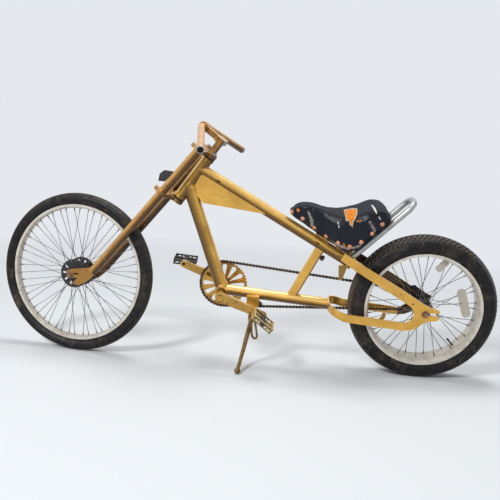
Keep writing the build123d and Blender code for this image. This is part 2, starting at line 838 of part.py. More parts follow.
# Bent hook that stands on the lower stay's left arm, inside it
hook_x = yoke_rear - hook_height * hook_place_share
hook_z = rear_hub.Z + dropout_throat[0][1] - stay_height / 2
with BuildPart() as stay_hook:
    with BuildSketch(Plane.XZ.offset(stay_offset - hook_width)):
        Polygon(
            *[(hook_x + x, hook_z + z) for x, z in scaled(hook_shares, hook_height)], align=None
        )
    extrude(amount=hook_width - weld_gap)
finish(stay_hook, "stay_hook", parked)

# Black guard over the chain, held by the right dropout
with BuildPart() as chain_guard:
    with BuildSketch(Plane.XZ.offset(weld_gap - stay_offset)):
        Polygon(
            *[(rear_hub.X + x, rear_hub.Z + z) for x, z in scaled(guard_shares, guard_length)],
            align=None,
        )
    extrude(amount=stay_side_gap - guard_gap)
finish(chain_guard, "chain_guard", parked)


# Steerer: the shaft that joins the two clamps inside the head tube
with BuildPart() as steerer:
    with BuildSketch(head_frame.offset(-clamp_height - clamp_thickness)):
        Circle(steerer_radius)
    extrude(amount=2 * (clamp_height + clamp_thickness))
finish(steerer, "steerer", parked_steering)

# Fork clamps, above and below the head tube
leg_bottom = (front_hub.Z + leg_foot_rise - leg_point.Z) / leg_up.Z
crown_point = head_point + head_up * (clamp_height + clamp_thickness)
leg_top = (crown_point.Z - leg_point.Z) / leg_up.Z + leg_top_above_clamp * 2
for label, base in (
    ("upper_clamp", clamp_height),
    ("lower_clamp", -clamp_height - clamp_thickness),
):
    middle = base + clamp_thickness / 2
    ear_x = leg_centre_behind(middle)
    ear_y = leg_spacing / 2
    with BuildPart() as fork_clamp:
        with BuildSketch(head_frame.offset(base)):
            Circle(clamp_ear_radius)
            for sign in (-1, 1):
                arm_length = hypot(ear_x, ear_y)
                arm_angle = degrees(atan2(sign * ear_y, ear_x))
                with Locations(Location((ear_x / 2, sign * ear_y / 2), arm_angle)):
                    Rectangle(arm_length, clamp_arm_width)
                with Locations((ear_x, sign * ear_y)):
                    Circle(clamp_ear_radius)
                with Locations((ear_x - clamp_boss_reach, sign * ear_y)):
                    Circle(clamp_boss_radius)
            Circle(steerer_radius + weld_gap, mode=Mode.SUBTRACT)
        extrude(amount=clamp_thickness)
        with BuildSketch(leg_frame.offset(leg_bottom)):
            with Locations((0, -ear_y), (0, ear_y)):
                Circle(leg_radius + weld_gap)
        extrude(amount=leg_top - leg_bottom + clamp_thickness, mode=Mode.SUBTRACT)
    finish(fork_clamp, label, parked_steering)

# Fork legs, each with the plate that carries the axle ahead of the leg
for side, sign in (("left", -1), ("right", 1)):
    with BuildPart() as fork_leg:
        with BuildSketch(leg_frame.offset(leg_bottom)):
            with Locations((0, sign * leg_spacing / 2)):
                Circle(leg_radius)
        extrude(amount=leg_top - leg_bottom)
        with BuildSketch(Plane.XZ.offset(-sign * leg_spacing / 2)):
            Polygon(
                *[
                    (front_hub.X + x, front_hub.Z + z)
                    for x, z in scaled(fork_plate_shares, axle_lead)
                ],
                align=None,
            )
            with Locations((front_hub.X, front_hub.Z)):
                Circle(front_axle_radius + axle_slot_gap, mode=Mode.SUBTRACT)
            slot_x, slot_z = scaled((fork_slot_shares,), axle_lead)[0]
            with Locations((front_hub.X + slot_x, front_hub.Z + slot_z)):
                Rectangle(dropout_thickness * 3, dropout_thickness, mode=Mode.SUBTRACT)
        extrude(amount=dropout_thickness / 2, both=True)
    finish(fork_leg, f"fork_leg_{side}", parked_steering)

# Black reflector bracket ahead of the left leg
bracket_base = Plane(
    origin=leg_point + leg_up * reflector_rise - leg_back * (leg_radius - weld_gap)
    - across * leg_spacing / 2,
    x_dir=-leg_back,
    z_dir=(0, 1, 0),
)
with BuildPart() as leg_core:
    with BuildSketch(leg_frame.offset(leg_bottom)):
        with Locations((0, -leg_spacing / 2)):
            Circle(leg_radius + weld_gap)
    extrude(amount=leg_top - leg_bottom)
with BuildPart() as reflector_bracket:
    with BuildSketch(bracket_base):
        Polygon(*scaled(reflector_shares, reflector_reach), align=None)
    extrude(amount=reflector_width / 2, both=True)
    add(leg_core.part, mode=Mode.SUBTRACT)
finish(reflector_bracket, "reflector_bracket", parked_steering)

# Stem: two posts on the upper clamp, a block across them and a neck to the bar's clamp
stem_base = clamp_height + clamp_thickness
bar_apex = head_point + head_up * bar_rise - head_back * bar_lead
block_base = bar_rise - stem_block_height / 2
with BuildPart() as stem:
    with BuildSketch(head_frame.offset(stem_base + weld_gap)):
        with Locations((0, -post_spacing / 2), (0, post_spacing / 2)):
            Rectangle(post_depth, post_width)
    extrude(amount=block_base - stem_base)
    with BuildSketch(head_frame.offset(block_base)):
        RectangleRounded(stem_block_length, stem_block_width, stem_clamp_wall)
        with Locations((-bar_lead / 2, 0)):
            Rectangle(bar_lead, stem_neck_width)
    extrude(amount=stem_block_height)
    bar_eye = Plane(origin=bar_apex, x_dir=head_back, z_dir=(0, -1, 0))
    with BuildSketch(bar_eye):
        Circle(bar_radius + stem_clamp_wall)
    extrude(amount=stem_clamp_width / 2, both=True)
    with BuildSketch(bar_eye):
        Circle(bar_radius + weld_gap)
    extrude(amount=stem_block_width, both=True, mode=Mode.SUBTRACT)
finish(stem, "stem", parked_steering)

# Handlebar: a bent tube, swept back and down to open ends
bar_back = Vector(cos(radians(bar_drop_angle)), 0, -sin(radians(bar_drop_angle)))
bar_plane = Plane(origin=bar_apex, x_dir=(0, 1, 0), z_dir=bar_back.cross(across))
bar_sign = 1 if bar_plane.y_dir.dot(bar_back) > 0 else -1
with BuildPart() as handlebar:
    with BuildLine(bar_plane) as bar_path:
        FilletPolyline(
            (-bar_half_width, bar_sign * bar_sweep),
            (-bar_centre_half, 0),
            (bar_centre_half, 0),
            (bar_half_width, bar_sign * bar_sweep),
            radius=bar_bend_radius,
        )
    with BuildSketch(Plane(origin=bar_path.line @ 0, z_dir=bar_path.line % 0)):
        Circle(bar_radius)
    sweep()
    bar_ends = {
        "left": (bar_path.line @ 0, -(bar_path.line % 0)),
        "right": (bar_path.line @ 1, bar_path.line % 1),
    }
    for end, outward in bar_ends.values():
        with BuildSketch(Plane(origin=end, z_dir=-outward)):
            Circle(bar_bore_radius)
        extrude(amount=bar_bore_depth, mode=Mode.SUBTRACT)
finish(handlebar, "handlebar", parked_steering)

# Crank spindle, arms and chainring turn together in the bottom bracket
with BuildPart() as spindle:
    with BuildSketch(bracket_frame.offset(-crank_offset - crank_thickness)):
        Circle(spindle_radius)
    extrude(amount=2 * (crank_offset + crank_thickness))
finish(spindle, "crank_spindle", parked)

with BuildPart() as chainring:
    with BuildSketch(bracket_frame.offset(-chainline - tooth_thickness / 2)):
        tooth_outline(ring_teeth, ring_pitch_radius)
        with PolarLocations(ring_pitch_radius * teardrop_centre_share, ring_hole_count):
            Polygon(*scaled(teardrop_shares, ring_pitch_radius), align=None, mode=Mode.SUBTRACT)
        Circle(spindle_radius + weld_gap, mode=Mode.SUBTRACT)
    extrude(amount=tooth_thickness)
finish(chainring, "chainring", parked)



def cage_points(length, height):
    """Outline of a pedal's side plate: along the pedal and up, with teeth on both edges."""
    step = length / pedal_tooth_count
    upper = []
    for index in range(pedal_tooth_count):
        upper.append((step * index, height / 2))
        upper.append((step * (index + pedal_tooth_share), height / 2 + pedal_tooth_height))
    upper.append((length, height / 2))
    return upper + [(x, -y) for x, y in reversed(upper)]


crank_turns = {"left": -crank_angle, "right": 180 - crank_angle}
pedal_hubs = {}
for side, sign in (("left", 1), ("right", -1)):
    turn = crank_turns[side]
    crank_end = (crank_length * cos(radians(turn)), crank_length * sin(radians(turn)))
    base = crank_offset if sign > 0 else -crank_offset - crank_thickness
    with BuildPart() as crank_arm:
        with BuildSketch(bracket_frame.offset(base)):
            with BuildLine():
                arm = Vector(*crank_end)
                normal = Vector(-arm.Y, arm.X) / crank_length
                Polyline(
                    normal * crank_boss_radius,
                    arm + normal * crank_end_radius,
                    arm - normal * crank_end_radius,
                    -normal * crank_boss_radius,
                    close=True,
                )
            make_face()
            Circle(crank_boss_radius)
            with Locations(crank_end):
                Circle(crank_end_radius)
                Circle(pedal_axle_radius + running_gap, mode=Mode.SUBTRACT)
            Circle(spindle_radius + weld_gap, mode=Mode.SUBTRACT)
        extrude(amount=crank_thickness)
    finish(crank_arm, f"crank_arm_{side}", parked)

    # Pedal: barrel, two toothed side plates and two end plates
    pedal_hub = bracket_point + Vector(crank_end[0], 0, crank_end[1])
    pedal_hubs[side] = pedal_hub
    pedal_frame = Plane(
        origin=pedal_hub,
        x_dir=(cos(radians(pedal_tilt)), 0, -sin(radians(pedal_tilt))),
        z_dir=(0, -1, 0),
    )
    inner = crank_offset + crank_thickness + pedal_gap
    near = inner if sign > 0 else -inner - pedal_length
    with BuildPart() as pedal:
        axle_base = crank_offset + weld_gap if sign > 0 else -inner - pedal_length
        with BuildSketch(pedal_frame.offset(axle_base)):
            Circle(pedal_axle_radius)
        extrude(amount=inner + pedal_length - crank_offset - weld_gap)
        with BuildSketch(pedal_frame.offset(near)):
            Circle(pedal_barrel_radius)
        extrude(amount=pedal_length)
        with BuildSketch(pedal_frame.offset(near)):
            Rectangle(pedal_reach, pedal_height)
        extrude(amount=pedal_plate)
        with BuildSketch(pedal_frame.offset(near + pedal_length - pedal_plate)):
            Rectangle(pedal_reach, pedal_height)
        extrude(amount=pedal_plate)
        for plate_side in (-1, 1):
            edge = pedal_frame.offset(near).location * Location(
                (plate_side * (pedal_reach - pedal_plate) / 2, 0, 0), (0, -90, 0)
            )
            with BuildSketch(Plane(edge)):
                Polygon(*cage_points(pedal_length, pedal_height), align=None)
            extrude(amount=pedal_plate / 2, both=True)
    finish(pedal, f"pedal_{side}", parked)


def chain_points(offsets):
    """Points round the chain's loop, at each pin and each mid-link, set off by turns.

    The loop is two straight runs, tangent to the two pitch circles, and the two arcs
    that wrap them. offsets holds the distance outside the path at a pin and between pins.
    """
    ring_centre = Vector(bracket_point.X, bracket_point.Z)
    sprocket_centre = Vector(rear_hub.X, rear_hub.Z)
    line = sprocket_centre - ring_centre
    slope = atan2(line.Y, line.X)
    lead = asin((ring_pitch_radius - sprocket_pitch_radius) / line.length)
    run = line.length * cos(lead)
    top = slope + pi / 2 - lead
    foot = slope - pi / 2 + lead
    sprocket_wrap = (top - foot) * sprocket_pitch_radius
    ring_wrap = (2 * pi - (top - foot)) * ring_pitch_radius
    total = 2 * run + sprocket_wrap + ring_wrap
    steps = 4 * ceil(total / chain_pitch / 2)
    points = []
    for step in range(steps):
        travel = total * step / steps
        if travel < run:
            turn = top
            along = travel
            base = ring_centre + Vector(cos(top), sin(top)) * ring_pitch_radius
            base = base + Vector(sin(top), -cos(top)) * along
        elif travel < run + sprocket_wrap:
            turn = top - (travel - run) / sprocket_pitch_radius
            base = sprocket_centre + Vector(cos(turn), sin(turn)) * sprocket_pitch_radius
        elif travel < 2 * run + sprocket_wrap:
            turn = foot
            along = travel - run - sprocket_wrap
            base = sprocket_centre + Vector(cos(foot), sin(foot)) * sprocket_pitch_radius
            base = base + Vector(sin(foot), -cos(foot)) * along
        else:
            turn = foot - (travel - 2 * run - sprocket_wrap) / ring_pitch_radius
            base = ring_centre + Vector(cos(turn), sin(turn)) * ring_pitch_radius
        reach = offsets[step % 2]
        points.append(base + Vector(cos(turn), sin(turn)) * reach)
    return points


# Chain: one fixed loop whose edges rise at each pin, open inside for the teeth
chain_base = -chainline - chain_width / 2
with BuildPart() as chain:
    with BuildSketch(Plane.XZ.offset(chain_base)):
        Polygon(*chain_points((chain_plate_half, chain_waist_half)), align=None)
        Polygon(
            *chain_points((-chain_plate_half, -chain_waist_half)), align=None, mode=Mode.SUBTRACT
        )
    extrude(amount=chain_width)
    # columns: wheel centre, pitch radius
    for centre, pitch_radius in (
        ((bracket_point.X, bracket_point.Z), ring_pitch_radius),
        ((rear_hub.X, rear_hub.Z), sprocket_pitch_radius),
    ):
        with BuildSketch(Plane.XZ.offset(-chainline - tooth_thickness / 2 - tooth_gap)):
            with Locations(centre):
                Circle(pitch_radius + tooth_height * 1.6)
        extrude(amount=tooth_thickness + tooth_gap * 2, mode=Mode.SUBTRACT)
finish(chain, "chain", parked)

# Saddle: side profile and plan outline crossed, a plain form for the padded seat
saddle_base = frame_point(saddle_nose_ahead, saddle_base_above)


def saddle_points(shares):
    """Points of the saddle's side outline, rearward and up, from a share table."""
    return [
        (saddle_base.X + x * saddle_length, saddle_base.Z + z * saddle_height) for x, z in shares
    ]


saddle_top = saddle_points(saddle_top_shares)
saddle_foot = saddle_points(saddle_foot_shares)
with BuildPart() as saddle:
    with BuildSketch(Plane.XZ):
        with BuildLine():
            Spline(*saddle_top)
            Polyline(saddle_top[-1], *saddle_foot, saddle_top[0])
        make_face()
    extrude(amount=saddle_width / 2, both=True)
    with BuildSketch(Plane.XY):
        with BuildLine():
            Polyline(
                *[
                    (saddle_base.X + x * saddle_length, y * saddle_width / 2)
                    for x, y in saddle_plan_shares
                ]
            )
            mirror(about=Plane.XZ)
            Line(
                (saddle_base.X, saddle_plan_shares[0][1] * saddle_width / 2),
                (saddle_base.X, -saddle_plan_shares[0][1] * saddle_width / 2),
            )
            Line(
                (saddle_base.X + saddle_length, saddle_plan_shares[-1][1] * saddle_width / 2),
                (saddle_base.X + saddle_length, -saddle_plan_shares[-1][1] * saddle_width / 2),
            )
        make_face()
    extrude(amount=rear_tyre_radius * 3, mode=Mode.INTERSECT)
finish(saddle, "saddle", parked)

# Saddle pan: a bent plate under the saddle on two short posts
pan_front, pan_low, pan_rear = (Vector(*point) for point in reversed(saddle_foot[:3]))
pan_slope = (pan_low.Y - pan_front.Y) / (pan_low.X - pan_front.X)
with BuildPart() as saddle_pan:
    with BuildSketch(Plane.XZ):
        Polygon(
            *[(point.X, point.Y - saddle_gap) for point in (pan_front, pan_low, pan_rear)],
            *[
                (point.X, point.Y - saddle_gap - saddle_pan_thickness)
                for point in (pan_rear, pan_low, pan_front)
            ],
            align=None,
        )
    extrude(amount=saddle_pan_width / 2, both=True)
    for share in saddle_post_shares:
        post_front = saddle_base.X + share * saddle_length - saddle_post_length / 2
        post_rear = post_front + saddle_post_length
        front_z = pan_front.Y + pan_slope * (post_front - pan_front.X) - saddle_gap
        rear_z = pan_front.Y + pan_slope * (post_rear - pan_front.X) - saddle_gap
        with BuildSketch(Plane.XZ):
            Polygon(
                (post_front, front_z),
                (post_rear, rear_z),
                (post_rear, rear_z - saddle_post_drop),
                (post_front, rear_z - saddle_post_drop),
                align=None,
            )
        extrude(amount=saddle_post_length / 2, both=True)
    add(backbone_core.part, mode=Mode.SUBTRACT)
finish(saddle_pan, "saddle_pan", parked)

# Hoop under and behind the saddle: both legs stand on the upper bridge
hoop_start = Vector(saddle_foot[0][0], 0, saddle_foot[0][1])
hoop_along = Vector(saddle_top[-1][0], 0, saddle_top[-1][1]) - hoop_start
hoop_length = hoop_along.length + hoop_foot_run + hoop_overreach
hoop_along = hoop_along.normalized()
hoop_under = Vector(hoop_along.Z, 0, -hoop_along.X)
hoop_foot = hoop_start + hoop_under * (hoop_radius + hoop_gap) - hoop_along * hoop_foot_run
hoop_plane = Plane(origin=hoop_foot, x_dir=(0, 1, 0), z_dir=across.cross(hoop_along))
with BuildPart() as hoop:
    with BuildLine(hoop_plane) as hoop_path:
        FilletPolyline(
            (-hoop_half_width, 0),
            (-hoop_half_width, hoop_length),
            (hoop_half_width, hoop_length),
            (hoop_half_width, 0),
            radius=hoop_corner_radius,
        )
    with BuildSketch(Plane(origin=hoop_path.line @ 0, z_dir=hoop_path.line % 0)):
        Circle(hoop_radius)
    sweep()
    add(bridge_core.part, mode=Mode.SUBTRACT)
finish(hoop, "saddle_hoop", parked)

# Side stand bracket: a block under the lower tube, a lug and the pivot pin
lug_x = stand_pivot.X
lug_top = on_lower_tube(stand_pivot_ahead).Z
lug_face = stand_pivot.Y + stand_knuckle_width / 2 + weld_gap
pivot_place = (stand_pivot.X, stand_pivot.Z)
with BuildPart() as stand_bracket:
    with BuildSketch(Plane.XZ.offset(-lower_tube_radius)):
        Polygon(
            (lug_x - stand_block_length / 2, lug_top),
            (lug_x + stand_block_length / 2, lug_top),
            (lug_x + stand_block_length / 2, lug_top - stand_block_height),
            (lug_x - stand_block_length / 2, lug_top - stand_block_height),
            align=None,
        )
    extrude(amount=lower_tube_radius - lug_face)
    with BuildSketch(Plane.XZ.offset(-lug_face)):
        Polygon(
            (lug_x - stand_block_length / 2, lug_top - stand_block_height / 2),
            (lug_x + stand_block_length / 2, lug_top - stand_block_height / 2),
            (lug_x + stand_knuckle_radius, stand_pivot.Z),
            (lug_x - stand_knuckle_radius, stand_pivot.Z),
            align=None,
        )
        with Locations(pivot_place):
            Circle(stand_knuckle_radius)
    extrude(amount=-stand_lug_thickness)
    with BuildSketch(Plane.XZ.offset(-lug_face)):
        with Locations(pivot_place):
            Circle(stand_pin_radius)
    extrude(amount=stand_knuckle_width + weld_gap * 2)
    with BuildSketch(Plane.XZ.offset(-lug_face + stand_knuckle_width + weld_gap * 2)):
        with Locations(pivot_place):
            Circle(stand_pin_radius * pin_head_share)
    extrude(amount=stand_lug_thickness)
    add(lower_core.part, mode=Mode.SUBTRACT)
finish(stand_bracket, "stand_bracket", parked)

# Side stand leg: a knuckle round the pin, a bent bar and a short roller for its foot
leg_start = stand_pivot + (stand_knee - stand_pivot).normalized() * stand_knuckle_radius
foot_along = (foot_place * Location((1, 0, 0))).position - stand_foot
with BuildPart() as stand_leg:
    with BuildSketch(Plane.XZ.offset(-stand_pivot.Y - stand_knuckle_width / 2)):
        with Locations(pivot_place):
            Circle(stand_knuckle_radius)
    extrude(amount=stand_knuckle_width)
    with BuildLine() as leg_line:
        Polyline(leg_start, stand_knee, stand_foot)
    with BuildSketch(Plane(origin=leg_line.line @ 0, z_dir=leg_line.line % 0)):
        Circle(stand_leg_radius)
    sweep(transition=Transition.RIGHT)
    with BuildSketch(Plane(origin=stand_foot - foot_along * stand_foot_length / 2, z_dir=foot_along)):
        Circle(stand_foot_radius)
    extrude(amount=stand_foot_length)
    with BuildSketch(Plane.XZ.offset(-lug_face)):
        with Locations(pivot_place):
            Circle(stand_pin_radius + running_gap)
    extrude(amount=stand_knuckle_width * 2, mode=Mode.SUBTRACT)
finish(stand_leg, "stand_leg", parked)

# Centre the parked bicycle over the origin and write its pieces
boxes = [piece.part.bounding_box() for piece in pieces]
centre_x = (min(box.min.X for box in boxes) + max(box.max.X for box in boxes)) / 2
centre_y = (min(box.min.Y for box in boxes) + max(box.max.Y for box in boxes)) / 2
centring = Location((-centre_x, -centre_y, 0))
for piece in pieces:
    label = piece.part.label
    piece.part = piece.part.moved(centring)
    piece.part.label = label
    export_step(piece.part, f"parts/{label}.step")

# Where the joints are: columns: name, place, point, direction
joints = (
    ("steering", parked, head_point, head_up),
    ("front wheel", parked_steering, front_hub, across),
    ("rear wheel", parked, rear_hub, across),
    ("crank", parked, bracket_point, across),
    ("left pedal", parked, pedal_hubs["left"], across),
    ("right pedal", parked, pedal_hubs["right"], across),
    ("side stand", parked, stand_pivot, across),
    ("left grip", parked_steering, bar_ends["left"][0], bar_ends["left"][1]),
    ("right grip", parked_steering, bar_ends["right"][0], bar_ends["right"][1]),
)
for name, place, point, direction in joints:
    origin = (centring * place * Location(point)).position
    ahead = (centring * place * Location(point + direction)).position
    turn = ahead - origin
    print(name, [round(value, 3) for value in origin], [round(value, 6) for value in turn])
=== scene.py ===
"""Dresses a parked chopper bicycle: paint, tyres, rims, saddle, chain, bolts and a studio.

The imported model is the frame. Everything is in metres in the row's axes: +X runs from the
front wheel to the rear wheel, +Y to the bicycle's right and +Z up. Tables give places in
millimetres in the upright bicycle's own axes: x rearward from the rear axle, y to the
right and z up from the ground.
"""

import json
import math

import bmesh
import bpy
import numpy as np
from bpy.props import FloatProperty, FloatVectorProperty, IntProperty, PointerProperty
from mathutils import Matrix, Vector
from mathutils.bvhtree import BVHTree


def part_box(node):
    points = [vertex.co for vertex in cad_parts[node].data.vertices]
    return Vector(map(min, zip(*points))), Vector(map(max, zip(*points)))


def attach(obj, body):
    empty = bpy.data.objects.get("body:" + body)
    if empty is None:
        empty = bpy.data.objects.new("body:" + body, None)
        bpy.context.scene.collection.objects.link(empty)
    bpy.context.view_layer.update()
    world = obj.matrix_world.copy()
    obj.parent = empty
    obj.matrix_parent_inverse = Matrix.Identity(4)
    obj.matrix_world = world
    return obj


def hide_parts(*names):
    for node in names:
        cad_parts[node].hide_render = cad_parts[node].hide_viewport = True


bl_info = {
    "name": "Chopper Bicycle Dresser",
    "version": (1, 0, 0),
    "blender": (4, 5, 0),
    "location": "View3D > Sidebar > Chopper",
    "description": "Builds the visible surfaces of a gold chopper bicycle over its packed frame",
    "category": "Object",
}

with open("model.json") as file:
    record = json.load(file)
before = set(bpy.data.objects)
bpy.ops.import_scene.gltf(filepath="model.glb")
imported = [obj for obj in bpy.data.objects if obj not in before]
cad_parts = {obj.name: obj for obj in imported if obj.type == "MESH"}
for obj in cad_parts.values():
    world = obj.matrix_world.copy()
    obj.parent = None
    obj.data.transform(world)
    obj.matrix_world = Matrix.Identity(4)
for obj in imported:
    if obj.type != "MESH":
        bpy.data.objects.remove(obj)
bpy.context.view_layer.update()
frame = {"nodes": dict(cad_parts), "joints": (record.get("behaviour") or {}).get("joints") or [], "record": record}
JOINTS = {joint["name"]: joint for joint in frame["joints"]}
MM = 0.001


# Places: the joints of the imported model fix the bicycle's and the fork's own axes


def unit(vector):
    """The vector, or each row of an array of them, at length one."""
    vector = np.asarray(vector, float)
    return vector / np.linalg.norm(vector, axis=-1, keepdims=True)


def joint_line(name):
    """Point and unit direction of a joint's axis."""
    return np.array(JOINTS[name]["pos_m"], float), unit(JOINTS[name]["axis"])


REAR_HUB, REAR_AXIS = joint_line("rear_wheel_spin")
FRONT_HUB, FRONT_AXIS = joint_line("front_wheel_spin")
HEAD_POINT, HEAD_UP = joint_line("steering")
BIKE_X = unit(np.cross(REAR_AXIS, (0.0, 0.0, 1.0)))
BIKE_Z = np.cross(BIKE_X, REAR_AXIS)
# Millimetres: rear tyre's radius, the head tube's middle and the bottom bracket's
REAR_RADIUS = 273.0
HEAD_X, HEAD_Z = -863.5, 699.0
BRACKET_X, BRACKET_Z = -741.0, 285.0
HEAD_RAKE = math.radians(34.0)
FORK_BACK = np.cross(FRONT_AXIS, HEAD_UP)
FORK_X = FORK_BACK * math.cos(HEAD_RAKE) + HEAD_UP * math.sin(HEAD_RAKE)
FORK_Z = HEAD_UP * math.cos(HEAD_RAKE) - FORK_BACK * math.sin(HEAD_RAKE)


def on_bike(points):
    """Row places of points in the upright bicycle's millimetres."""
    p = np.asarray(points, float) * MM
    base = REAR_HUB - BIKE_Z * REAR_RADIUS * MM
    return base + p[..., :1] * BIKE_X + p[..., 1:2] * REAR_AXIS + p[..., 2:3] * BIKE_Z


def on_fork(points):
    """Row places of points in the unsteered bicycle's millimetres, turned with the fork."""
    p = np.asarray(points, float) * MM
    return (
        HEAD_POINT
        + (p[..., :1] - HEAD_X * MM) * FORK_X
        + p[..., 1:2] * FRONT_AXIS
        + (p[..., 2:3] - HEAD_Z * MM) * FORK_Z
    )


def turn_on(placer, vectors):
    """Row directions of vectors given in the placer's axes."""
    vectors = np.asarray(vectors, float)
    return unit(placer(vectors) - placer(np.zeros_like(vectors)))


HEAD_LINE = np.array((math.sin(HEAD_RAKE), 0.0, math.cos(HEAD_RAKE)))
HEAD_SIDE = np.array((math.cos(HEAD_RAKE), 0.0, -math.sin(HEAD_RAKE)))


def on_head(up, back=0.0, right=0.0):
    """A point in the unsteered bicycle's millimetres by its place along the steering axis."""
    return np.array((HEAD_X, 0.0, HEAD_Z)) + HEAD_LINE * up + HEAD_SIDE * back + (0.0, right, 0.0)


def look_axes(yaw, pitch, roll):
    """The camera's right, up and back directions as columns, for turns in degrees.

    Unturned it looks along +Y. It rolls about its own line of sight, then pitches about
    its right side, then yaws about +Z.
    """
    turns = Matrix.Rotation(math.radians(yaw), 3, "Z") @ Matrix.Rotation(math.radians(pitch), 3, "X")
    turns = np.array(turns @ Matrix.Rotation(math.radians(roll), 3, "Y"))
    return np.column_stack((turns[:, 0], turns[:, 2], -turns[:, 1]))


# The camera, found from the outlines of rims, tyres and tubes: its place is measured in
# millimetres from the point where the rear tyre stands
REAR_CONTACT = np.array((REAR_HUB[0], REAR_HUB[1] + REAR_RADIUS * MM * REAR_AXIS[2], 0.0))
CAMERA = {
    "place": REAR_CONTACT + np.array((-548.7, -2726.1, 833.2)) * MM,
    "look": look_axes(2.11, -8.4, -3.72),
    "lens": 52.82,
    "sensor": 36.0,
}
VIEW_MIDDLE = 250.0
LENS_PIXELS = CAMERA["lens"] / CAMERA["sensor"] * 2 * VIEW_MIDDLE


# Meshes: points come as whole arrays, faces as index tables


def grid_faces(rows, columns, wrap_rows=False, wrap_columns=False):
    """Four-sided faces of a grid of points, joined over its ends where it wraps."""
    r = np.arange(rows if wrap_rows else rows - 1)[:, None]
    c = np.arange(columns if wrap_columns else columns - 1)[None, :]
    r2, c2 = (r + 1) % rows, (c + 1) % columns
    quads = np.stack(
        (r * columns + c, r2 * columns + c, r2 * columns + c2, r * columns + c2), axis=-1
    )
    return quads.reshape(-1, 4)


def new_piece(name, points, faces, body, slot, finish, smooth=40.0, attributes=()):
    """A mesh object of the points and faces, facing outwards, riding on its body.

    Edges that bend by more than smooth degrees stay sharp.
    """
    mesh = bpy.data.meshes.new(name)
    mesh.from_pydata(np.asarray(points, float).reshape(-1, 3).tolist(), [], faces)
    for label, values in attributes:
        layer = mesh.attributes.new(label, "FLOAT", "POINT")
        layer.data.foreach_set("value", np.asarray(values, np.float32).ravel())
    work = bmesh.new()
    work.from_mesh(mesh)
    bmesh.ops.recalc_face_normals(work, faces=work.faces)
    work.to_mesh(mesh)
    work.free()
    mesh.polygons.foreach_set("use_smooth", np.ones(len(mesh.polygons), bool))
    mesh.set_sharp_from_angle(angle=math.radians(smooth))
    mesh.materials.append(finish_of(finish))
    piece = bpy.data.objects.new(name, mesh)
    bpy.context.scene.collection.objects.link(piece)
    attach(piece, body)
    return piece


def joined(parts):
    """Points and faces of several (points, faces) pairs as one pair."""
    points, faces, base = [], [], 0
    for some_points, some_faces in parts:
        some_points = np.asarray(some_points, float).reshape(-1, 3)
        points.append(some_points)
        faces.extend([[index + base for index in face] for face in some_faces])
        base += len(some_points)
    return np.concatenate(points), faces


def side_axes(directions):
    """Two unit vectors square to each direction and to each other."""
    directions = unit(np.atleast_2d(directions))
    helper = np.where(np.abs(directions[:, 2:3]) < 0.8, (0.0, 0.0, 1.0), (1.0, 0.0, 0.0))
    first = unit(np.cross(directions, helper))
    return first, np.cross(directions, first)


def turned(profile, origins, directions, sides):
    """Turned shapes: each point of a profile (distance along, radius) is carried round the axis.

    A point of the surface is origin + along * direction + radius * (cos t * a + sin t * b),
    with a and b square to the direction and t in equal steps round it.
    """
    origins = np.atleast_2d(origins)
    directions = unit(np.atleast_2d(directions)) * np.ones((len(origins), 1))
    first, second = side_axes(directions)
    along, radius = (np.array(column, float) * MM for column in zip(*profile))
    t = np.linspace(0.0, 2 * math.pi, sides, endpoint=False)
    ring = np.cos(t)[None, :, None] * first[:, None, :] + np.sin(t)[None, :, None] * second[:, None, :]
    points = (
        origins[:, None, None, :]
        + along[None, :, None, None] * directions[:, None, None, :]
        + radius[None, :, None, None] * ring[:, None, :, :]
    )
    rings = len(profile)
    one = grid_faces(rings, sides, wrap_columns=True)
    caps = np.array((np.arange(sides)[::-1], np.arange(sides) + (rings - 1) * sides))
    starts = np.arange(len(origins)) * rings * sides
    faces = (one[None] + starts[:, None, None]).reshape(-1, 4).tolist()
    faces += (caps[None] + starts[:, None, None]).reshape(-1, sides).tolist()
    return points.reshape(-1, 3), faces


def swept(path, radius, sides=10, closed=False):
    """A round bar along a path: at each point a circle square to the path's direction.

    A point of the surface is path + radius * (cos t * a + sin t * b). The side a is square
    to the direction and to one helper vector, which three of the path's points give, and
    the radius may differ from point to point.
    """
    path = np.asarray(path, float)
    if closed:
        direction = unit(np.roll(path, -1, axis=0) - np.roll(path, 1, axis=0))
    else:
        direction = unit(np.gradient(path, axis=0))
    helper = unit(np.cross(path[len(path) // 3] - path[0], path[2 * len(path) // 3] - path[0]) + 1e-9)
    first = unit(np.cross(direction, helper + 1e-6))
    second = np.cross(direction, first)
    t = np.linspace(0.0, 2 * math.pi, sides, endpoint=False)
    radius = np.broadcast_to(np.asarray(radius, float) * MM, (len(path),))
    points = path[:, None, :] + radius[:, None, None] * (
        np.cos(t)[None, :, None] * first[:, None, :] + np.sin(t)[None, :, None] * second[:, None, :]
    )
    faces = grid_faces(len(path), sides, wrap_rows=closed, wrap_columns=True).tolist()
    if not closed:
        faces += [list(range(sides))[::-1], list(range((len(path) - 1) * sides, len(path) * sides))]
    return points.reshape(-1, 3), faces


def plates(outline, bases, across, along, upward, thickness):
    """Flat plates of one outline, set at many places.

    A corner is base + u * along + v * upward, once at the base and once a thickness further
    along the across direction.
    """
    outline = np.asarray(outline, float) * MM
    flat = (
        bases[:, None, :]
        + outline[None, :, :1] * along[:, None, :]
        + outline[None, :, 1:] * upward[:, None, :]
    )
    points = np.stack((flat, flat + across * thickness * MM), axis=1)
    count = len(outline)
    walls = grid_faces(2, count, wrap_columns=True)
    caps = np.array((np.arange(count)[::-1], np.arange(count) + count))
    starts = np.arange(len(bases)) * count * 2
    faces = (walls[None] + starts[:, None, None]).reshape(-1, 4).tolist()
    faces += (caps[None] + starts[:, None, None]).reshape(-1, count).tolist()
    return points.reshape(-1, 3), faces


# Finishes


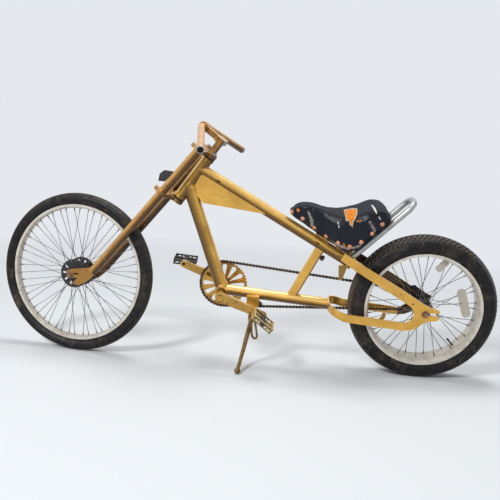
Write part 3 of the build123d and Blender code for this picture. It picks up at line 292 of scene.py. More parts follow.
class Finish:
    """A small writer for one procedural material on the Principled shader."""

    def __init__(self, name, roughness=0.5, metallic=0.0, **sockets):
        self.material = bpy.data.materials.new(name)
        self.material.use_nodes = True
        self.tree = self.material.node_tree
        self.shader = self.tree.nodes["Principled BSDF"]
        self.put("Roughness", roughness)
        self.put("Metallic", metallic)
        for socket, value in sockets.items():
            self.put(socket.replace("_", " "), value)
        self.place = self.node("ShaderNodeTexCoord").outputs["Object"]

    def node(self, kind, **settings):
        """A new node with its settings."""
        made = self.tree.nodes.new(kind)
        for key, value in settings.items():
            setattr(made, key, value)
        return made

    def link(self, source, target):
        """Joins two sockets."""
        self.tree.links.new(source, target)

    def feed(self, target, value):
        """A constant or a link on a socket."""
        if isinstance(value, bpy.types.NodeSocket):
            self.link(value, target)
        elif isinstance(value, (int, float)):
            target.default_value = value
        else:
            target.default_value = (*tuple(value)[:3], 1.0)

    def put(self, socket, value):
        """A constant or a link on one of the shader's own sockets."""
        self.feed(self.shader.inputs[socket], value)

    def noise(self, scale, detail=4.0, roughness=0.6, stretch=None, distortion=0.0):
        """Noise over Object coordinates, stretched along the axes if asked."""
        texture = self.node("ShaderNodeTexNoise")
        texture.inputs["Scale"].default_value = scale
        texture.inputs["Detail"].default_value = detail
        texture.inputs["Roughness"].default_value = roughness
        texture.inputs["Distortion"].default_value = distortion
        place = self.place
        if stretch:
            mapping = self.node("ShaderNodeMapping")
            mapping.inputs["Scale"].default_value = stretch
            self.link(place, mapping.inputs["Vector"])
            place = mapping.outputs["Vector"]
        self.link(place, texture.inputs["Vector"])
        return texture.outputs["Fac"]

    def cells(self, scale, feature="F1"):
        """Distance to the nearest of scattered points."""
        texture = self.node("ShaderNodeTexVoronoi", feature=feature)
        texture.inputs["Scale"].default_value = scale
        self.link(self.place, texture.inputs["Vector"])
        return texture.outputs["Distance"]

    def math(self, operation, first, second=0.0):
        """A sum, product or the like of two values."""
        made = self.node("ShaderNodeMath", operation=operation)
        self.feed(made.inputs[0], first)
        self.feed(made.inputs[1], second)
        return made.outputs[0]

    def ramp(self, source, *stops):
        """Maps a value to colours or greys at the stops: (position, colour or grey)."""
        made = self.node("ShaderNodeValToRGB")
        elements = made.color_ramp.elements
        while len(elements) < len(stops):
            elements.new(0.5)
        for element, (position, colour) in zip(elements, stops):
            element.position = position
            grey = (colour,) * 3 if isinstance(colour, (int, float)) else tuple(colour)[:3]
            element.color = (*grey, 1.0)
        self.link(source, made.inputs["Fac"])
        return made.outputs["Color"]

    def mix(self, factor, first, second, blend="MIX"):
        """Mixes two colours by a factor."""
        made = self.node("ShaderNodeMix", data_type="RGBA", blend_type=blend)
        for socket, value in ((0, factor), (6, first), (7, second)):
            self.feed(made.inputs[socket], value)
        return made.outputs[2]

    def upward(self):
        """How far the surface faces up: half the normal's height plus the socket's own half."""
        normal = self.node("ShaderNodeNewGeometry").outputs["Normal"]
        split = self.node("ShaderNodeSeparateXYZ")
        self.link(normal, split.inputs[0])
        return self.math("MULTIPLY_ADD", split.outputs["Z"], 0.5)

    def attribute(self, name):
        """A value that the mesh keeps at each vertex."""
        return self.node("ShaderNodeAttribute", attribute_name=name).outputs["Fac"]

    def distance_from(self, centre):
        """Distance of the surface from a fixed point, in metres."""
        made = self.node("ShaderNodeVectorMath", operation="DISTANCE")
        self.link(self.place, made.inputs[0])
        made.inputs[1].default_value = tuple(float(value) for value in centre)
        return made.outputs["Value"]

    def bump(self, height, strength=0.3, depth=0.001, below=None):
        """Raises the surface by a height map, over an earlier bump if given."""
        made = self.node("ShaderNodeBump")
        made.inputs["Strength"].default_value = strength
        made.inputs["Distance"].default_value = depth
        self.link(height, made.inputs["Height"])
        if below:
            self.link(below, made.inputs["Normal"])
        self.link(made.outputs["Normal"], self.shader.inputs["Normal"])
        return made.outputs["Normal"]


def brushed_gold(name, bright, shade, rust, wear, gloss, rust_from=0.6, round_bar=True):
    """Gold paint laid on by hand: streaked colour, a painted highlight on top, painted brown shade on the
    undersides, dark chips and rust.

    Wear is the share of streaks and chips, gloss the roughness of clean paint, and rust
    starts where the grime noise passes rust_from. On a round bar the painted brown shade
    starts just below the middle, on a plate only where it faces down.
    """
    made = Finish(name, metallic=0.76, Coat_Weight=0.45, Coat_Roughness=0.10)
    broad = made.noise(9.0, 5.0)
    streak = made.noise(46.0, 5.0, 0.7, stretch=(0.35, 1.0, 1.0), distortion=0.6)
    # A lighter copy of the gold, mixed in where the surface faces up: a painted highlight on top.
    light = tuple(min(1.0, value * 1.12 + 0.13) for value in bright)
    colour = made.mix(made.ramp(broad, (0.40, 0.0), (0.66, 0.65)), bright, shade)
    up = made.upward()
    colour = made.mix(made.ramp(up, (0.55, 0.0), (0.72, 0.70), (0.92, 0.95)), colour, light)
    # A dark brown, mixed in where the surface faces down: painted shade on the undersides.
    deep = tuple(value * 0.24 for value in shade)
    low = 0.12 if round_bar else 0.0
    fade = ((0.10, 1.0), (0.26 + low, 0.90), (0.34 + low, 0.60), (0.40 + low, 0.12), (0.44 + low, 0.0))
    colour = made.mix(made.ramp(up, *fade), colour, deep)
    colour = made.mix(made.ramp(streak, (0.56, 0.0), (0.80, wear)), colour, rust, "MULTIPLY")
    grime = made.math("ADD", made.noise(26.0, 8.0, 0.72), made.math("MULTIPLY", broad, 0.25))
    patch = made.ramp(grime, (rust_from + 0.10, 0.0), (rust_from + 0.20, 0.9))
    colour = made.mix(patch, colour, rust)
    chips = made.ramp(made.noise(230.0, 3.0, 0.6), (0.66 - wear * 0.07, 0.0), (0.72, 0.85))
    colour = made.mix(chips, colour, (0.045, 0.022, 0.008))
    flecks = made.ramp(made.noise(340.0, 2.0, 0.5), (0.68, 0.0), (0.75, 0.5))
    colour = made.mix(flecks, colour, (0.95, 0.86, 0.62))
    made.put("Base Color", colour)
    made.put("Roughness", made.ramp(grime, (0.55, gloss), (0.85, gloss + 0.30)))
    first = made.bump(made.noise(60.0, 3.0, 0.5), 0.08, 0.0010)
    made.bump(made.noise(420.0, 3.0, 0.7), 0.10, 0.0003, first)
    return made.material


def painted_rim(name, cream, rust, hub, edge):
    """Cream paint over steel with brown dust, a little darker inward of the rolled edge."""
    made = Finish(name, metallic=0.15, roughness=0.38, Coat_Weight=0.2)
    out = made.distance_from(hub)
    dust = made.noise(34.0, 6.0, 0.7)
    colour = made.mix(made.ramp(dust, (0.46, 0.0), (0.72, 0.75)), cream, (0.36, 0.29, 0.21))
    inner = made.ramp(out, (edge - 0.010, 1.0), (edge - 0.006, 0.0))
    colour = made.mix(made.math("MULTIPLY", inner, 0.35), colour, (0.30, 0.26, 0.22))
    spots = made.ramp(made.noise(70.0, 7.0, 0.75), (0.60, 0.0), (0.68, 1.0))
    colour = made.mix(spots, colour, rust)
    scratches = made.ramp(made.noise(210.0, 3.0, 0.6, stretch=(1.0, 0.2, 1.0)), (0.66, 0.0), (0.72, 0.7))
    colour = made.mix(scratches, colour, (0.16, 0.13, 0.10))
    made.put("Base Color", colour)
    made.put("Roughness", made.ramp(dust, (0.4, 0.28), (0.7, 0.6)))
    made.bump(made.noise(160.0, 4.0), 0.12, 0.0005)
    return made.material


def dusty_rubber(name, black, dust, crown):
    """Old rubber: black walls with wiped dust, a crown brown with road dirt, and grooves of clean rubber painted
    darker than its black as painted shade.

    The mesh keeps two values at each vertex: how far from the bead to the crown it is, and
    how deep in a groove.
    """
    made = Finish(name, roughness=0.6, Specular_IOR_Level=0.22)
    worn = made.attribute("tread")
    smear = made.noise(11.0, 7.0, 0.72, distortion=1.4)
    wall = made.mix(made.ramp(smear, (0.50, 0.0), (0.74, 0.85)), black, dust)
    wipe = made.ramp(made.noise(28.0, 5.0, 0.7, stretch=(1.0, 1.0, 0.4)), (0.58, 0.0), (0.70, 0.6))
    wall = made.mix(wipe, wall, tuple(value * 1.8 for value in dust))
    top = made.mix(made.ramp(made.noise(60.0, 5.0), (0.35, 0.0), (0.65, 1.0)), crown, dust)
    colour = made.mix(made.ramp(worn, (0.48, 0.0), (0.62, 0.95)), wall, top)
    # In the grooves the crown's dust gives way to a black darker than the rubber's own: painted shade.
    colour = made.mix(made.attribute("groove"), colour, (0.002, 0.002, 0.002))
    grit = made.ramp(made.noise(420.0, 2.0), (0.64, 0.0), (0.72, 0.35))
    colour = made.mix(grit, colour, (0.36, 0.31, 0.25))
    made.put("Base Color", colour)
    made.put("Roughness", made.ramp(smear, (0.4, 0.34), (0.7, 0.75)))
    made.bump(made.noise(260.0, 4.0, 0.7), 0.18, 0.0004)
    return made.material


def worn_metal(name, bright, dull, rust, share, roughness, metallic=0.9):
    """Bare or plated metal, clouded, with rust over a share of it."""
    made = Finish(name, metallic=metallic)
    cloud = made.noise(48.0, 6.0, 0.7)
    colour = made.mix(made.ramp(cloud, (0.38, 0.0), (0.66, 1.0)), bright, dull)
    spots = made.ramp(made.noise(95.0, 8.0, 0.75), (0.74 - share * 0.4, 0.0), (0.80 - share * 0.4, 1.0))
    colour = made.mix(spots, colour, rust)
    made.put("Base Color", colour)
    made.put("Roughness", made.ramp(cloud, (0.3, roughness), (0.75, min(roughness + 0.3, 0.95))))
    made.bump(made.noise(300.0, 4.0, 0.7), 0.2, 0.0004)
    return made.material


def moulded_black(name, black, dust, roughness):
    """Moulded or painted black with a fine grain and dust where it faces up."""
    made = Finish(name, Specular_IOR_Level=0.5)
    cloud = made.noise(55.0, 6.0, 0.7)
    settled = made.math("MULTIPLY", made.ramp(made.upward(), (0.45, 0.0), (1.0, 0.5)), cloud)
    colour = made.mix(settled, black, dust)
    scuffs = made.ramp(made.noise(180.0, 5.0, 0.7, stretch=(1.0, 1.0, 0.3)), (0.62, 0.0), (0.70, 0.6))
    made.put("Base Color", made.mix(scuffs, colour, dust))
    made.put("Roughness", made.ramp(cloud, (0.3, roughness), (0.7, roughness + 0.25)))
    made.bump(made.noise(520.0, 2.0), 0.2, 0.0003)
    return made.material


def saddle_vinyl(colours):
    """Black vinyl: fine grain, torn foam, scuffs, thin white scratches, a painted white highlight streak and
    painted shade on top.

    The mesh keeps, at each vertex, how far inside each tear's outline it lies, in
    millimetres, so a noise added to that distance gives the tear its ragged edge.
    """
    made = Finish("saddle_vinyl", Specular_IOR_Level=0.22)
    ragged = made.math("MULTIPLY", made.math("SUBTRACT", made.noise(130.0, 5.0, 0.7), 0.5), 9.0)

    def inside(name, soft=0.6):
        """One inside the marks of this name, fading over soft millimetres at their edge."""
        edge = made.math("ADD", made.attribute(name), ragged)
        centimetres = made.math("MULTIPLY_ADD", edge, 0.1)
        return made.ramp(centimetres, (0.5 - soft * 0.05, 0.0), (0.5 + soft * 0.05, 1.0))

    shift = made.noise(22.0, 6.0, 0.65)
    colour = made.mix(made.ramp(shift, (0.4, 0.0), (0.7, 1.0)), colours.vinyl, (0.012, 0.013, 0.018))
    bloom = made.ramp(made.noise(70.0, 7.0, 0.75), (0.62, 0.0), (0.78, 0.3))
    colour = made.mix(bloom, colour, (0.030, 0.033, 0.046))
    # Where the saddle faces up its black goes deeper still: painted shade on the top.
    colour = made.mix(made.ramp(made.upward(), (0.50, 0.0), (0.80, 0.85)), colour, (0.0025, 0.003, 0.007))
    broken = made.ramp(made.noise(190.0, 4.0, 0.7), (0.42, 0.0), (0.50, 1.0))
    scuff = made.math("MULTIPLY", inside("scuff", 3.0), broken)
    colour = made.mix(scuff, colour, (0.34, 0.29, 0.26))
    foam = inside("tear")
    crumbs = made.ramp(made.noise(120.0, 5.0), (0.4, 0.0), (0.65, 1.0))
    foam_colour = made.mix(crumbs, colours.foam, (0.50, 0.13, 0.012))
    rim_of_tear = made.mix(inside("torn_edge"), colour, (0.55, 0.42, 0.30))
    colour = made.mix(foam, rim_of_tear, foam_colour)
    # Near-white marks: thin scratches, and in the first outline a painted highlight streak.
    colour = made.mix(inside("scratch_and_highlight", 1.0), colour, (0.72, 0.71, 0.70))
    made.put("Base Color", colour)
    duller_top = made.ramp(made.upward(), (0.60, 0.0), (0.85, 0.35))
    gloss = made.math("ADD", made.ramp(shift, (0.35, 0.24), (0.7, 0.32)), duller_top)
    made.put("Roughness", made.mix(foam, gloss, (0.92, 0.92, 0.92)))
    grain = made.bump(made.cells(900.0), 0.03, 0.0001)
    made.bump(made.math("SUBTRACT", 1.0, foam), 0.8, 0.002, grain)
    return made.material


def clear_plastic(name, tint):
    """Clear moulded plastic over small prisms, yellowed and dusty."""
    made = Finish(name, roughness=0.16, Transmission_Weight=0.35, Specular_IOR_Level=0.6)
    dust = made.noise(60.0, 5.0)
    made.put("Base Color", made.mix(made.ramp(dust, (0.45, 0.0), (0.7, 0.6)), tint, (0.62, 0.55, 0.42)))
    made.bump(made.cells(330.0, "F1"), 0.5, 0.0012)
    return made.material


def make_finishes(colours):
    """All finishes by name, from the panel's colours."""
    gold, fork_gold = tuple(colours.gold), tuple(colours.fork_gold)
    rust, rim, copper = tuple(colours.rust), tuple(colours.rim), tuple(colours.copper)
    shade = (0.50, 0.24, 0.035)
    worn_gold = tuple(0.74 * value for value in gold)
    chain_rust, dark_rust = (0.20, 0.075, 0.03), (0.12, 0.035, 0.02)
    return {
        # columns: name, bright, shade, rust, wear, gloss, where rust starts
        "gold": brushed_gold("frame_gold", gold, shade, rust, 0.30, 0.27, 0.68),
        "plate_gold": brushed_gold("plate_gold", gold, shade, rust, 0.30, 0.27, 0.68, round_bar=False),
        "fork_gold": brushed_gold("fork_gold", fork_gold, (0.34, 0.15, 0.030), rust, 0.60, 0.32, 0.62),
        # A much darker copy of the gold for parts on the bicycle's far side: painted shade.
        "shaded_far_gold": brushed_gold(
            "far_leg_shaded_gold", (0.30, 0.15, 0.035), (0.12, 0.05, 0.012), rust, 0.60, 0.36, 0.58
        ),
        "crank_gold": brushed_gold(
            "crank_gold", worn_gold, (0.30, 0.14, 0.03), rust, 0.8, 0.28, 0.59, round_bar=False
        ),
        "pale_gold": brushed_gold(
            "pedal_gold", (0.80, 0.60, 0.26), (0.34, 0.19, 0.05), rust, 0.9, 0.34, 0.60
        ),
        # columns: name, cream, rust, hub, the edge's radius in metres
        "front_rim": painted_rim("front_rim_cream", rim, rust, FRONT_HUB, 0.259),
        "rear_rim": painted_rim("rear_rim_cream", rim, rust, REAR_HUB, 0.215),
        # columns: name, black, dust, crown
        "front_rubber": dusty_rubber(
            "front_tyre_rubber", (0.007, 0.007, 0.008), (0.085, 0.066, 0.050), (0.028, 0.026, 0.024)
        ),
        "rear_rubber": dusty_rubber(
            "rear_tyre_rubber", (0.006, 0.006, 0.007), (0.080, 0.062, 0.046), (0.125, 0.100, 0.078)
        ),
        # columns: name, bright, dull, rust, its share, roughness, metallic
        "spoke": worn_metal("spoke_steel", (0.22, 0.21, 0.20), (0.10, 0.09, 0.08), rust, 0.2, 0.42),
        "steel": worn_metal("dull_steel", (0.50, 0.50, 0.49), (0.33, 0.33, 0.33), rust, 0.12, 0.32),
        "copper": worn_metal("copper_stud", copper, (0.42, 0.17, 0.09), dark_rust, 0.15, 0.36, 0.75),
        "nut": worn_metal("rusty_nut", (0.42, 0.28, 0.18), (0.20, 0.10, 0.06), rust, 0.3, 0.5, 0.7),
        "stand": worn_metal("stand_steel", (0.30, 0.19, 0.075), (0.17, 0.09, 0.03), rust, 0.4, 0.5, 0.6),
        # columns: name, black, dust, roughness
        "hub": moulded_black("hub_black", (0.012, 0.012, 0.013), (0.14, 0.12, 0.10), 0.42),
        # Near black for inside the bar's open ends: painted shade.
        "bore": moulded_black("bore_painted_shade", (0.003, 0.003, 0.003), (0.012, 0.010, 0.008), 0.9),
        "plastic": moulded_black("black_plastic", (0.016, 0.016, 0.017), (0.12, 0.11, 0.10), 0.5),
        "pedal_dark": moulded_black("pedal_black", (0.030, 0.026, 0.022), (0.22, 0.17, 0.11), 0.45),
        "chain": worn_metal(
            "chain_steel", (0.11, 0.075, 0.05), (0.045, 0.030, 0.022), chain_rust, 0.42, 0.45
        ),
        "reflector": clear_plastic("reflector_lens", (0.62, 0.58, 0.48)),
        "vinyl": saddle_vinyl(colours),
    }


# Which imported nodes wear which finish
NODE_FINISHES = {
    "gold": "head_tube bottom_bracket down_tube backbone lower_tube upper_bridge stay_hook saddle_pan",
    "plate_gold": "side_panel seat_tube upper_stay_left lower_yoke stand_bracket",
    "crank_gold": "crank_arm_left crank_arm_right crank_spindle chainring pedal_left",
    "fork_gold": "upper_clamp lower_clamp fork_leg_left stem handlebar",
    # The far fork leg and far stay wear the darker gold as painted shade.
    "shaded_far_gold": "fork_leg_right upper_stay_right",
    "front_rim": "front_rim",
    "rear_rim": "rear_rim",
    "front_rubber": "front_tyre",
    "rear_rubber": "rear_tyre",
    "spoke": "front_spokes rear_spokes",
    "hub": "front_hub rear_hub rear_sprocket",
    "plastic": "chain_guard reflector_bracket",
    "chain": "chain",
    "pedal_dark": "pedal_right",
    "steel": "steerer saddle_hoop",
    "nut": "front_axle rear_axle",
    "stand": "stand_leg",
    "vinyl": "saddle",
}
FINISHES = {}


def finish_of(name):
    """A finish by name, all made on the first call."""
    if not FINISHES:
        FINISHES.update(make_finishes(bpy.context.scene.chopper_colours))
    return FINISHES[name]


# Tyres


def smooth_line(points, count):
    """A smooth curve through the points, at equal steps.

    Each span is a cubic whose end slopes are half the run between the neighbours.
    """
    p = np.asarray(points, float)
    p = np.vstack((2 * p[0] - p[1], p, 2 * p[-1] - p[-2]))
    u = np.linspace(0.0, len(p) - 3.0, count)
    k = np.minimum(u.astype(int), len(p) - 4)
    t = (u - k)[:, None]
    a, b, c, d = p[k], p[k + 1], p[k + 2], p[k + 3]
    square, cube = 2 * a - 5 * b + 4 * c - d, 3 * b - a - 3 * c + d
    return 0.5 * (2 * b + (c - a) * t + square * t**2 + cube * t**3)


def wheel_point(hub, side, back, up, angle, radius, across):
    """Places on a wheel: hub + radius * (cos angle * back + sin angle * up) + across * side."""
    r = (radius * MM)[..., None]
    return (
        hub
        + r * (np.cos(angle)[..., None] * back + np.sin(angle)[..., None] * up)
        + (across * MM)[..., None] * side
    )


# The tread's share of a tyre's outline starts here: nought is the bead, one the crown
WALL_SHARE = 0.45


def tyre_section(half, tread_rows, wall_rows):
    """A tyre's outline from one bead over the crown to the other: across, radius, share.

    Half an outline is a smooth curve through (across, radius) places; the tread part of it
    gets its own, closer rows, and the other half is its mirror image.
    """
    wall, crown = half
    low = smooth_line(wall, wall_rows)[:-1]
    high = smooth_line(crown, tread_rows)
    line = np.vstack((low, high))
    share = np.concatenate((np.linspace(0.0, WALL_SHARE, len(low)), np.linspace(WALL_SHARE, 1.0, len(high))))
    full = np.vstack((line * (-1.0, 1.0), (line[:-1])[::-1]))
    return full[:, 0], full[:, 1], np.concatenate((share, share[:-1][::-1]))


def smooth_step(low, high, value):
    """Nought below low, one above high, and an even bend between them."""
    t = np.clip((value - low) / (high - low), 0.0, 1.0)
    return t * t * (3 - 2 * t)


def build_tyre(name, node, body, axes, half, finish, blocks, depth, tread):
    """One tyre: the section carried round the wheel, its tread cut in by a depth map.

    The radius at (turn, row) is the section's radius less depth times the groove map, which
    the tread's map gives as nought on a block and one in a groove. On the wall it is raised
    by a rib, a bell curve over the radius, and by fine ridges, a cosine of it. The grid is
    skewed by the tread's slope, so that slanted grooves run along its lines.
    """
    per_block = 8
    across, radius, share = tyre_section(half, tread["rows"], tread["wall_rows"])
    out = np.abs(across)[None, :]
    columns = blocks * per_block
    step = np.arange(columns)[:, None] + np.zeros(len(across))[None, :]
    groove = tread["map"](step, out, per_block) * smooth_step(0.46, 0.56, share)[None, :]
    rib = 0.7 * np.exp(-(((radius - tread["rib"]) / 1.6) ** 2)) * (share < WALL_SHARE)
    ridges = 0.35 * np.cos(radius * 2.4) * (share > 0.02) * (share < 0.44)
    height = radius[None, :] + (rib + ridges)[None, :] * 0.8 - depth * groove
    angle = 2 * math.pi * step / columns + tread["slope"] * out / radius.max()
    points = wheel_point(*axes, angle, height, across[None, :] + 0 * step)
    faces = grid_faces(columns, len(across), wrap_rows=True, wrap_columns=True).tolist()
    # The groove map is also kept at each vertex; the rubber paints the grooves near black with it, as painted
    # shade.
    values = (("tread", share[None, :] + 0 * groove), ("groove", groove * 0.9))
    piece = new_piece(name, points, faces, body, "tyre_rubber", finish, 32.0, values)
    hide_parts(node)


def block_tread(step, across, per_block):
    """Staggered small blocks: cross grooves shift by half a block from row to row.

    The last seventh on each side of a row is a groove along, out to the shoulder, and a
    plain rib runs along the middle.
    """
    row_width, rib_half, cross_from, shoulder = 4.9, 1.2, 3.4, 26.0
    rows = across / row_width
    shift = (step + (np.floor(rows) % 2) * per_block / 2) % per_block
    cross = (shift < 2.0) * (across > cross_from)
    along = np.abs(rows % 1.0 - 0.5) > 0.36
    return np.maximum(cross, along * (across < shoulder)) * (across > rib_half)


def slanted_tread(step, across, per_block):
    """Slanted grooves over the crown, shallow cuts at the shoulders and two rings a side.

    Each ring is a bell curve over the place across, at 2 and 17.5 mm from the middle.
    """
    cross_from, cut_from, cut_depth = 4.0, 24.0, 0.5
    cross = np.isin(step % per_block, (0, 1, 2)) * (across > cross_from)
    cut = (step % per_block == 5) * (across > cut_from) * cut_depth
    rings = np.exp(-(((across - 17.5) / 1.5) ** 2)) + np.exp(-(((across - 2.0) / 1.2) ** 2))
    return np.maximum(np.maximum(cross, cut), np.minimum(rings, 1.0))


# A wheel's hub, axis, backward and upward directions
REAR_WHEEL = (REAR_HUB, REAR_AXIS, BIKE_X, BIKE_Z)
FRONT_WHEEL = (FRONT_HUB, FRONT_AXIS, FORK_X, FORK_Z)
# Half a tyre's outline as (across, radius): first the wall, then the tread
REAR_HALF = (
    (
        (37.0, 210.0), (43.0, 213.5), (44.2, 217.0), (49.0, 226.0), (51.8, 239.0), (50.6, 250.0),
        (45.6, 259.0),
    ),
    ((45.6, 259.0), (38.0, 265.0), (26.0, 269.8), (13.0, 272.3), (0.0, 273.0)),
)
FRONT_HALF = (
    (
        (9.0, 254.0), (12.4, 256.5), (13.4, 260.0), (19.6, 266.5), (24.3, 276.0), (24.6, 284.0),
        (22.6, 290.4),
    ),
    ((22.6, 290.4), (19.0, 294.6), (13.0, 298.2), (6.5, 300.4), (0.0, 301.0)),
)


def build_tyres(sizes):
    """Both tyres: small staggered blocks in front, slanted grooves behind.

    A tread holds its rows of points on half the crown and on a wall, how far its grooves
    slant, its groove map and the radius of the wall's rib.
    """
    build_tyre(
        "front_tyre_tread", "front_tyre", "front_wheel", FRONT_WHEEL, FRONT_HALF,
        "front_rubber", sizes.front_blocks, sizes.front_depth,
        {"rows": 22, "wall_rows": 13, "slope": 0.0, "map": block_tread, "rib": 266.0},
    )
    build_tyre(
        "rear_tyre_tread", "rear_tyre", "rear_wheel", REAR_WHEEL, REAR_HALF,
        "rear_rubber", sizes.rear_grooves, sizes.rear_depth,
        {"rows": 27, "wall_rows": 14, "slope": 0.75, "map": slanted_tread, "rib": 225.0},
    )


# Front spokes, nipples, valves and reflectors


def spoke_ends(axes, count, lead_angle, hub_radius, flange_half, rim_radius, rim_half):
    """Each spoke's hub end and rim end, its side, and its lead: one or minus one.

    Spokes alternate between the sides and, two by two, between leading and trailing: the
    hub end is turned by lead times lead_angle, and sits 3.5 mm further out or further in.
    """
    index = np.arange(count)
    side = np.where(index % 2 == 1, -1.0, 1.0)
    lead = np.where(index % 4 // 2 == 1, -1.0, 1.0)
    turn = 2 * math.pi * index / count
    across = side * (flange_half + lead * 3.5)
    foot = wheel_point(*axes, turn + lead * math.radians(lead_angle), np.full(count, hub_radius), across)
    end = wheel_point(*axes, turn, np.full(count, rim_radius), side * rim_half)
    return foot, end, side, lead


def build_nipples(name, body, foot, end):
    """A nipple where each spoke meets its rim, a turned shape pointing down the spoke."""
    run = unit(foot - end)
    profile = ((0, 3.4), (1.2, 3.6), (2.0, 2.6), (3.0, 2.2), (12.0, 2.0), (13.0, 1.3))
    new_piece(name, *turned(profile, end - run * 1.0 * MM, run, 8), body, "dull_steel", "spoke")


def build_front_spokes(foot, end, side, lead):
    """Thin spokes of the front wheel, each a straight bar from its disc to its nipple.

    The bar is a turned shape, a little thicker at both ends. A flat head at its foot lies
    along the axle, on the side where the spoke passes through its disc.
    """
    length = float(np.linalg.norm(end - foot, axis=1).mean()) / MM
    bar = ((-2.0, 1.4), (0.0, 1.15), (length * 0.5, 1.0), (length - 2.0, 1.15), (length - 1.0, 1.15))
    bars_round = turned(bar, foot, unit(end - foot), 6)
    piece = new_piece("front_spoke_set", *bars_round, "front_wheel", "dull_steel", "spoke")
    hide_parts("front_spokes")
    head = ((-1.6, 1.6), (-0.8, 2.4), (0.6, 2.4), (1.4, 1.4))
    heads = turned(head, foot, side[:, None] * FRONT_AXIS[None] * lead[:, None], 8)
    new_piece("front_spoke_heads", *heads, "front_wheel", "dull_steel", "spoke")


def build_wheel_trim(sizes):
    """Front spokes, both wheels' nipples, a valve in each rim and the rear two reflectors."""
    # the wheel, its spokes, their lead in degrees, radius and place across at hub and at rim
    foot, end, side, lead = spoke_ends(FRONT_WHEEL, 52, sizes.spoke_lead, 51.0, 31.0, 244.8, 5.1)
    build_front_spokes(foot, end, side, lead)
    build_nipples("front_nipples", "front_wheel", foot, end)
    foot, end, _, _ = spoke_ends(REAR_WHEEL, 36, 38.0, 28.0, 38.0, 197.8, 15.4)
    build_nipples("rear_nipples", "rear_wheel", foot, end)
    stem = ((0, 3.2), (4, 3.4), (5, 4.6), (8, 4.6), (9, 3.2), (24, 2.9), (25, 4.0), (34, 3.9), (35, 3.0))
    # columns: name, body, wheel, turn round it in radians, radius where the stem starts
    for name, body, axes, angle, radius in (
        ("front_valve", "front_wheel", FRONT_WHEEL, 0.72, 245.5),
        ("rear_valve", "rear_wheel", REAR_WHEEL, -0.83, 198.5),
    ):
        base = wheel_point(*axes, np.array([angle]), np.array([radius]), np.zeros(1))
        new_piece(name, *turned(stem, base, axes[0] - base, 14), body, "black_plastic", "plastic")
    # columns: name, place x and z and across, half length, half width, turn in radians
    for name, x, z, y, half, width, turn in (
        ("spoke_reflector_rear", 147.0, 304.0, -21.0, 56.0, 16.0, -1.24),
        ("spoke_reflector_upper", 52.0, 441.0, -18.0, 27.0, 12.0, 0.88),
    ):
        lens = reflector_body((x, y, z), half, width, turn)
        new_piece(name, *lens, "rear_wheel", "cream_rim", "reflector", 30.0)


def reflector_body(place, half, width, turn):
    """A long lens with a raised edge and cross ribs, round at both ends.

    Over (u, v) in a square, the outline is the square squeezed to a rounded bar, and the
    height is a rim near the edge plus a small cosine of u for the ribs.
    """
    u, v = np.meshgrid(np.linspace(-1, 1, 49), np.linspace(-1, 1, 17), indexing="ij")
    squeeze = np.sqrt(np.clip(1 - np.clip((np.abs(u) - 0.72) / 0.28, 0, 1) ** 2 * 0.86, 0, 1))
    edge = np.maximum(np.abs(u), np.abs(v))
    front = 3.0 + 1.2 * smooth_step(0.80, 0.90, edge) + 0.35 * np.cos(u * 44) * (edge < 0.82)
    along = u * half
    side = v * width * squeeze
    top = np.stack((along, -front, side), axis=-1)
    base = np.stack((along, 0 * along + 1.5, side), axis=-1)
    points = np.concatenate((top.reshape(-1, 3), base.reshape(-1, 3)))
    rows, columns = u.shape
    size = rows * columns
    skin = grid_faces(rows, columns)
    border = np.concatenate((
        np.arange(columns),
        np.arange(1, rows) * columns + columns - 1,
        (rows - 1) * columns + np.arange(columns - 2, -1, -1),
        np.arange(rows - 2, 0, -1) * columns,
    ))
    following = np.roll(border, -1)
    wall = np.stack((border, following, following + size, border + size), axis=-1)
    faces = np.concatenate((skin, skin + size, wall)).tolist()
    c, s = math.cos(turn), math.sin(turn)
    x, y, z = points.T
    return on_bike(np.stack((x * c - z * s, y, x * s + z * c), axis=-1) + np.asarray(place)), faces


# Chain


# Millimetres; within SPROCKET_CLEAR of the rear axle a pin stops short of the teeth
PITCH, RING_TEETH, SPROCKET_TEETH = 12.7, 44, 18
CHAIN_ACROSS, SPROCKET_CLEAR = 61.0, 47.0


def chain_line(step_count):
    """Pin places round ring and sprocket: two arcs joined by their outer tangents.

    A wheel of n teeth has its pins at the radius pitch / 2 / sin(pi / n). The places are at
    equal steps of the loop's length: upper run, rear arc, lower run, front arc.
    """
    ring, sprocket = np.array((BRACKET_X, BRACKET_Z)), np.array((0.0, REAR_RADIUS))
    r1, r2 = (PITCH / 2 / math.sin(math.pi / teeth) for teeth in (RING_TEETH, SPROCKET_TEETH))
    run = sprocket - ring
    length = np.hypot(*run)
    base, open_angle = math.atan2(run[1], run[0]), math.acos((r1 - r2) / length)
    straight = math.sqrt(length**2 - (r1 - r2) ** 2)
    rear_arc, front_arc = r2 * 2 * open_angle, r1 * (2 * math.pi - 2 * open_angle)
    stops = np.cumsum((0, straight, rear_arc, straight, front_arc))
    s = np.linspace(0.0, stops[-1], step_count, endpoint=False)[:, None]

    def spot(angle, centre, radius):
        """Places on a circle at the angles."""
        return centre + radius * np.stack((np.cos(angle), np.sin(angle)), axis=-1)[:, 0]

    above, below = np.full_like(s, base + open_angle), np.full_like(s, base - open_angle)
    t = s / straight
    upper = spot(above, ring, r1) * (1 - t) + spot(above, sprocket, r2) * t
    rear = spot(base + open_angle - (s - stops[1]) / r2, sprocket, r2)
    t = (s - stops[2]) / straight
    lower = spot(below, sprocket, r2) * (1 - t) + spot(below, ring, r1) * t
    front = spot(base - open_angle - (s - stops[3]) / r1, ring, r1)
    places = np.select([s < stops[1], s < stops[2], s < stops[3]], [upper, rear, lower], front)
    on_span = (s[:, 0] < stops[1]) | ((s[:, 0] >= stops[2]) & (s[:, 0] < stops[3]))
    return places, on_span


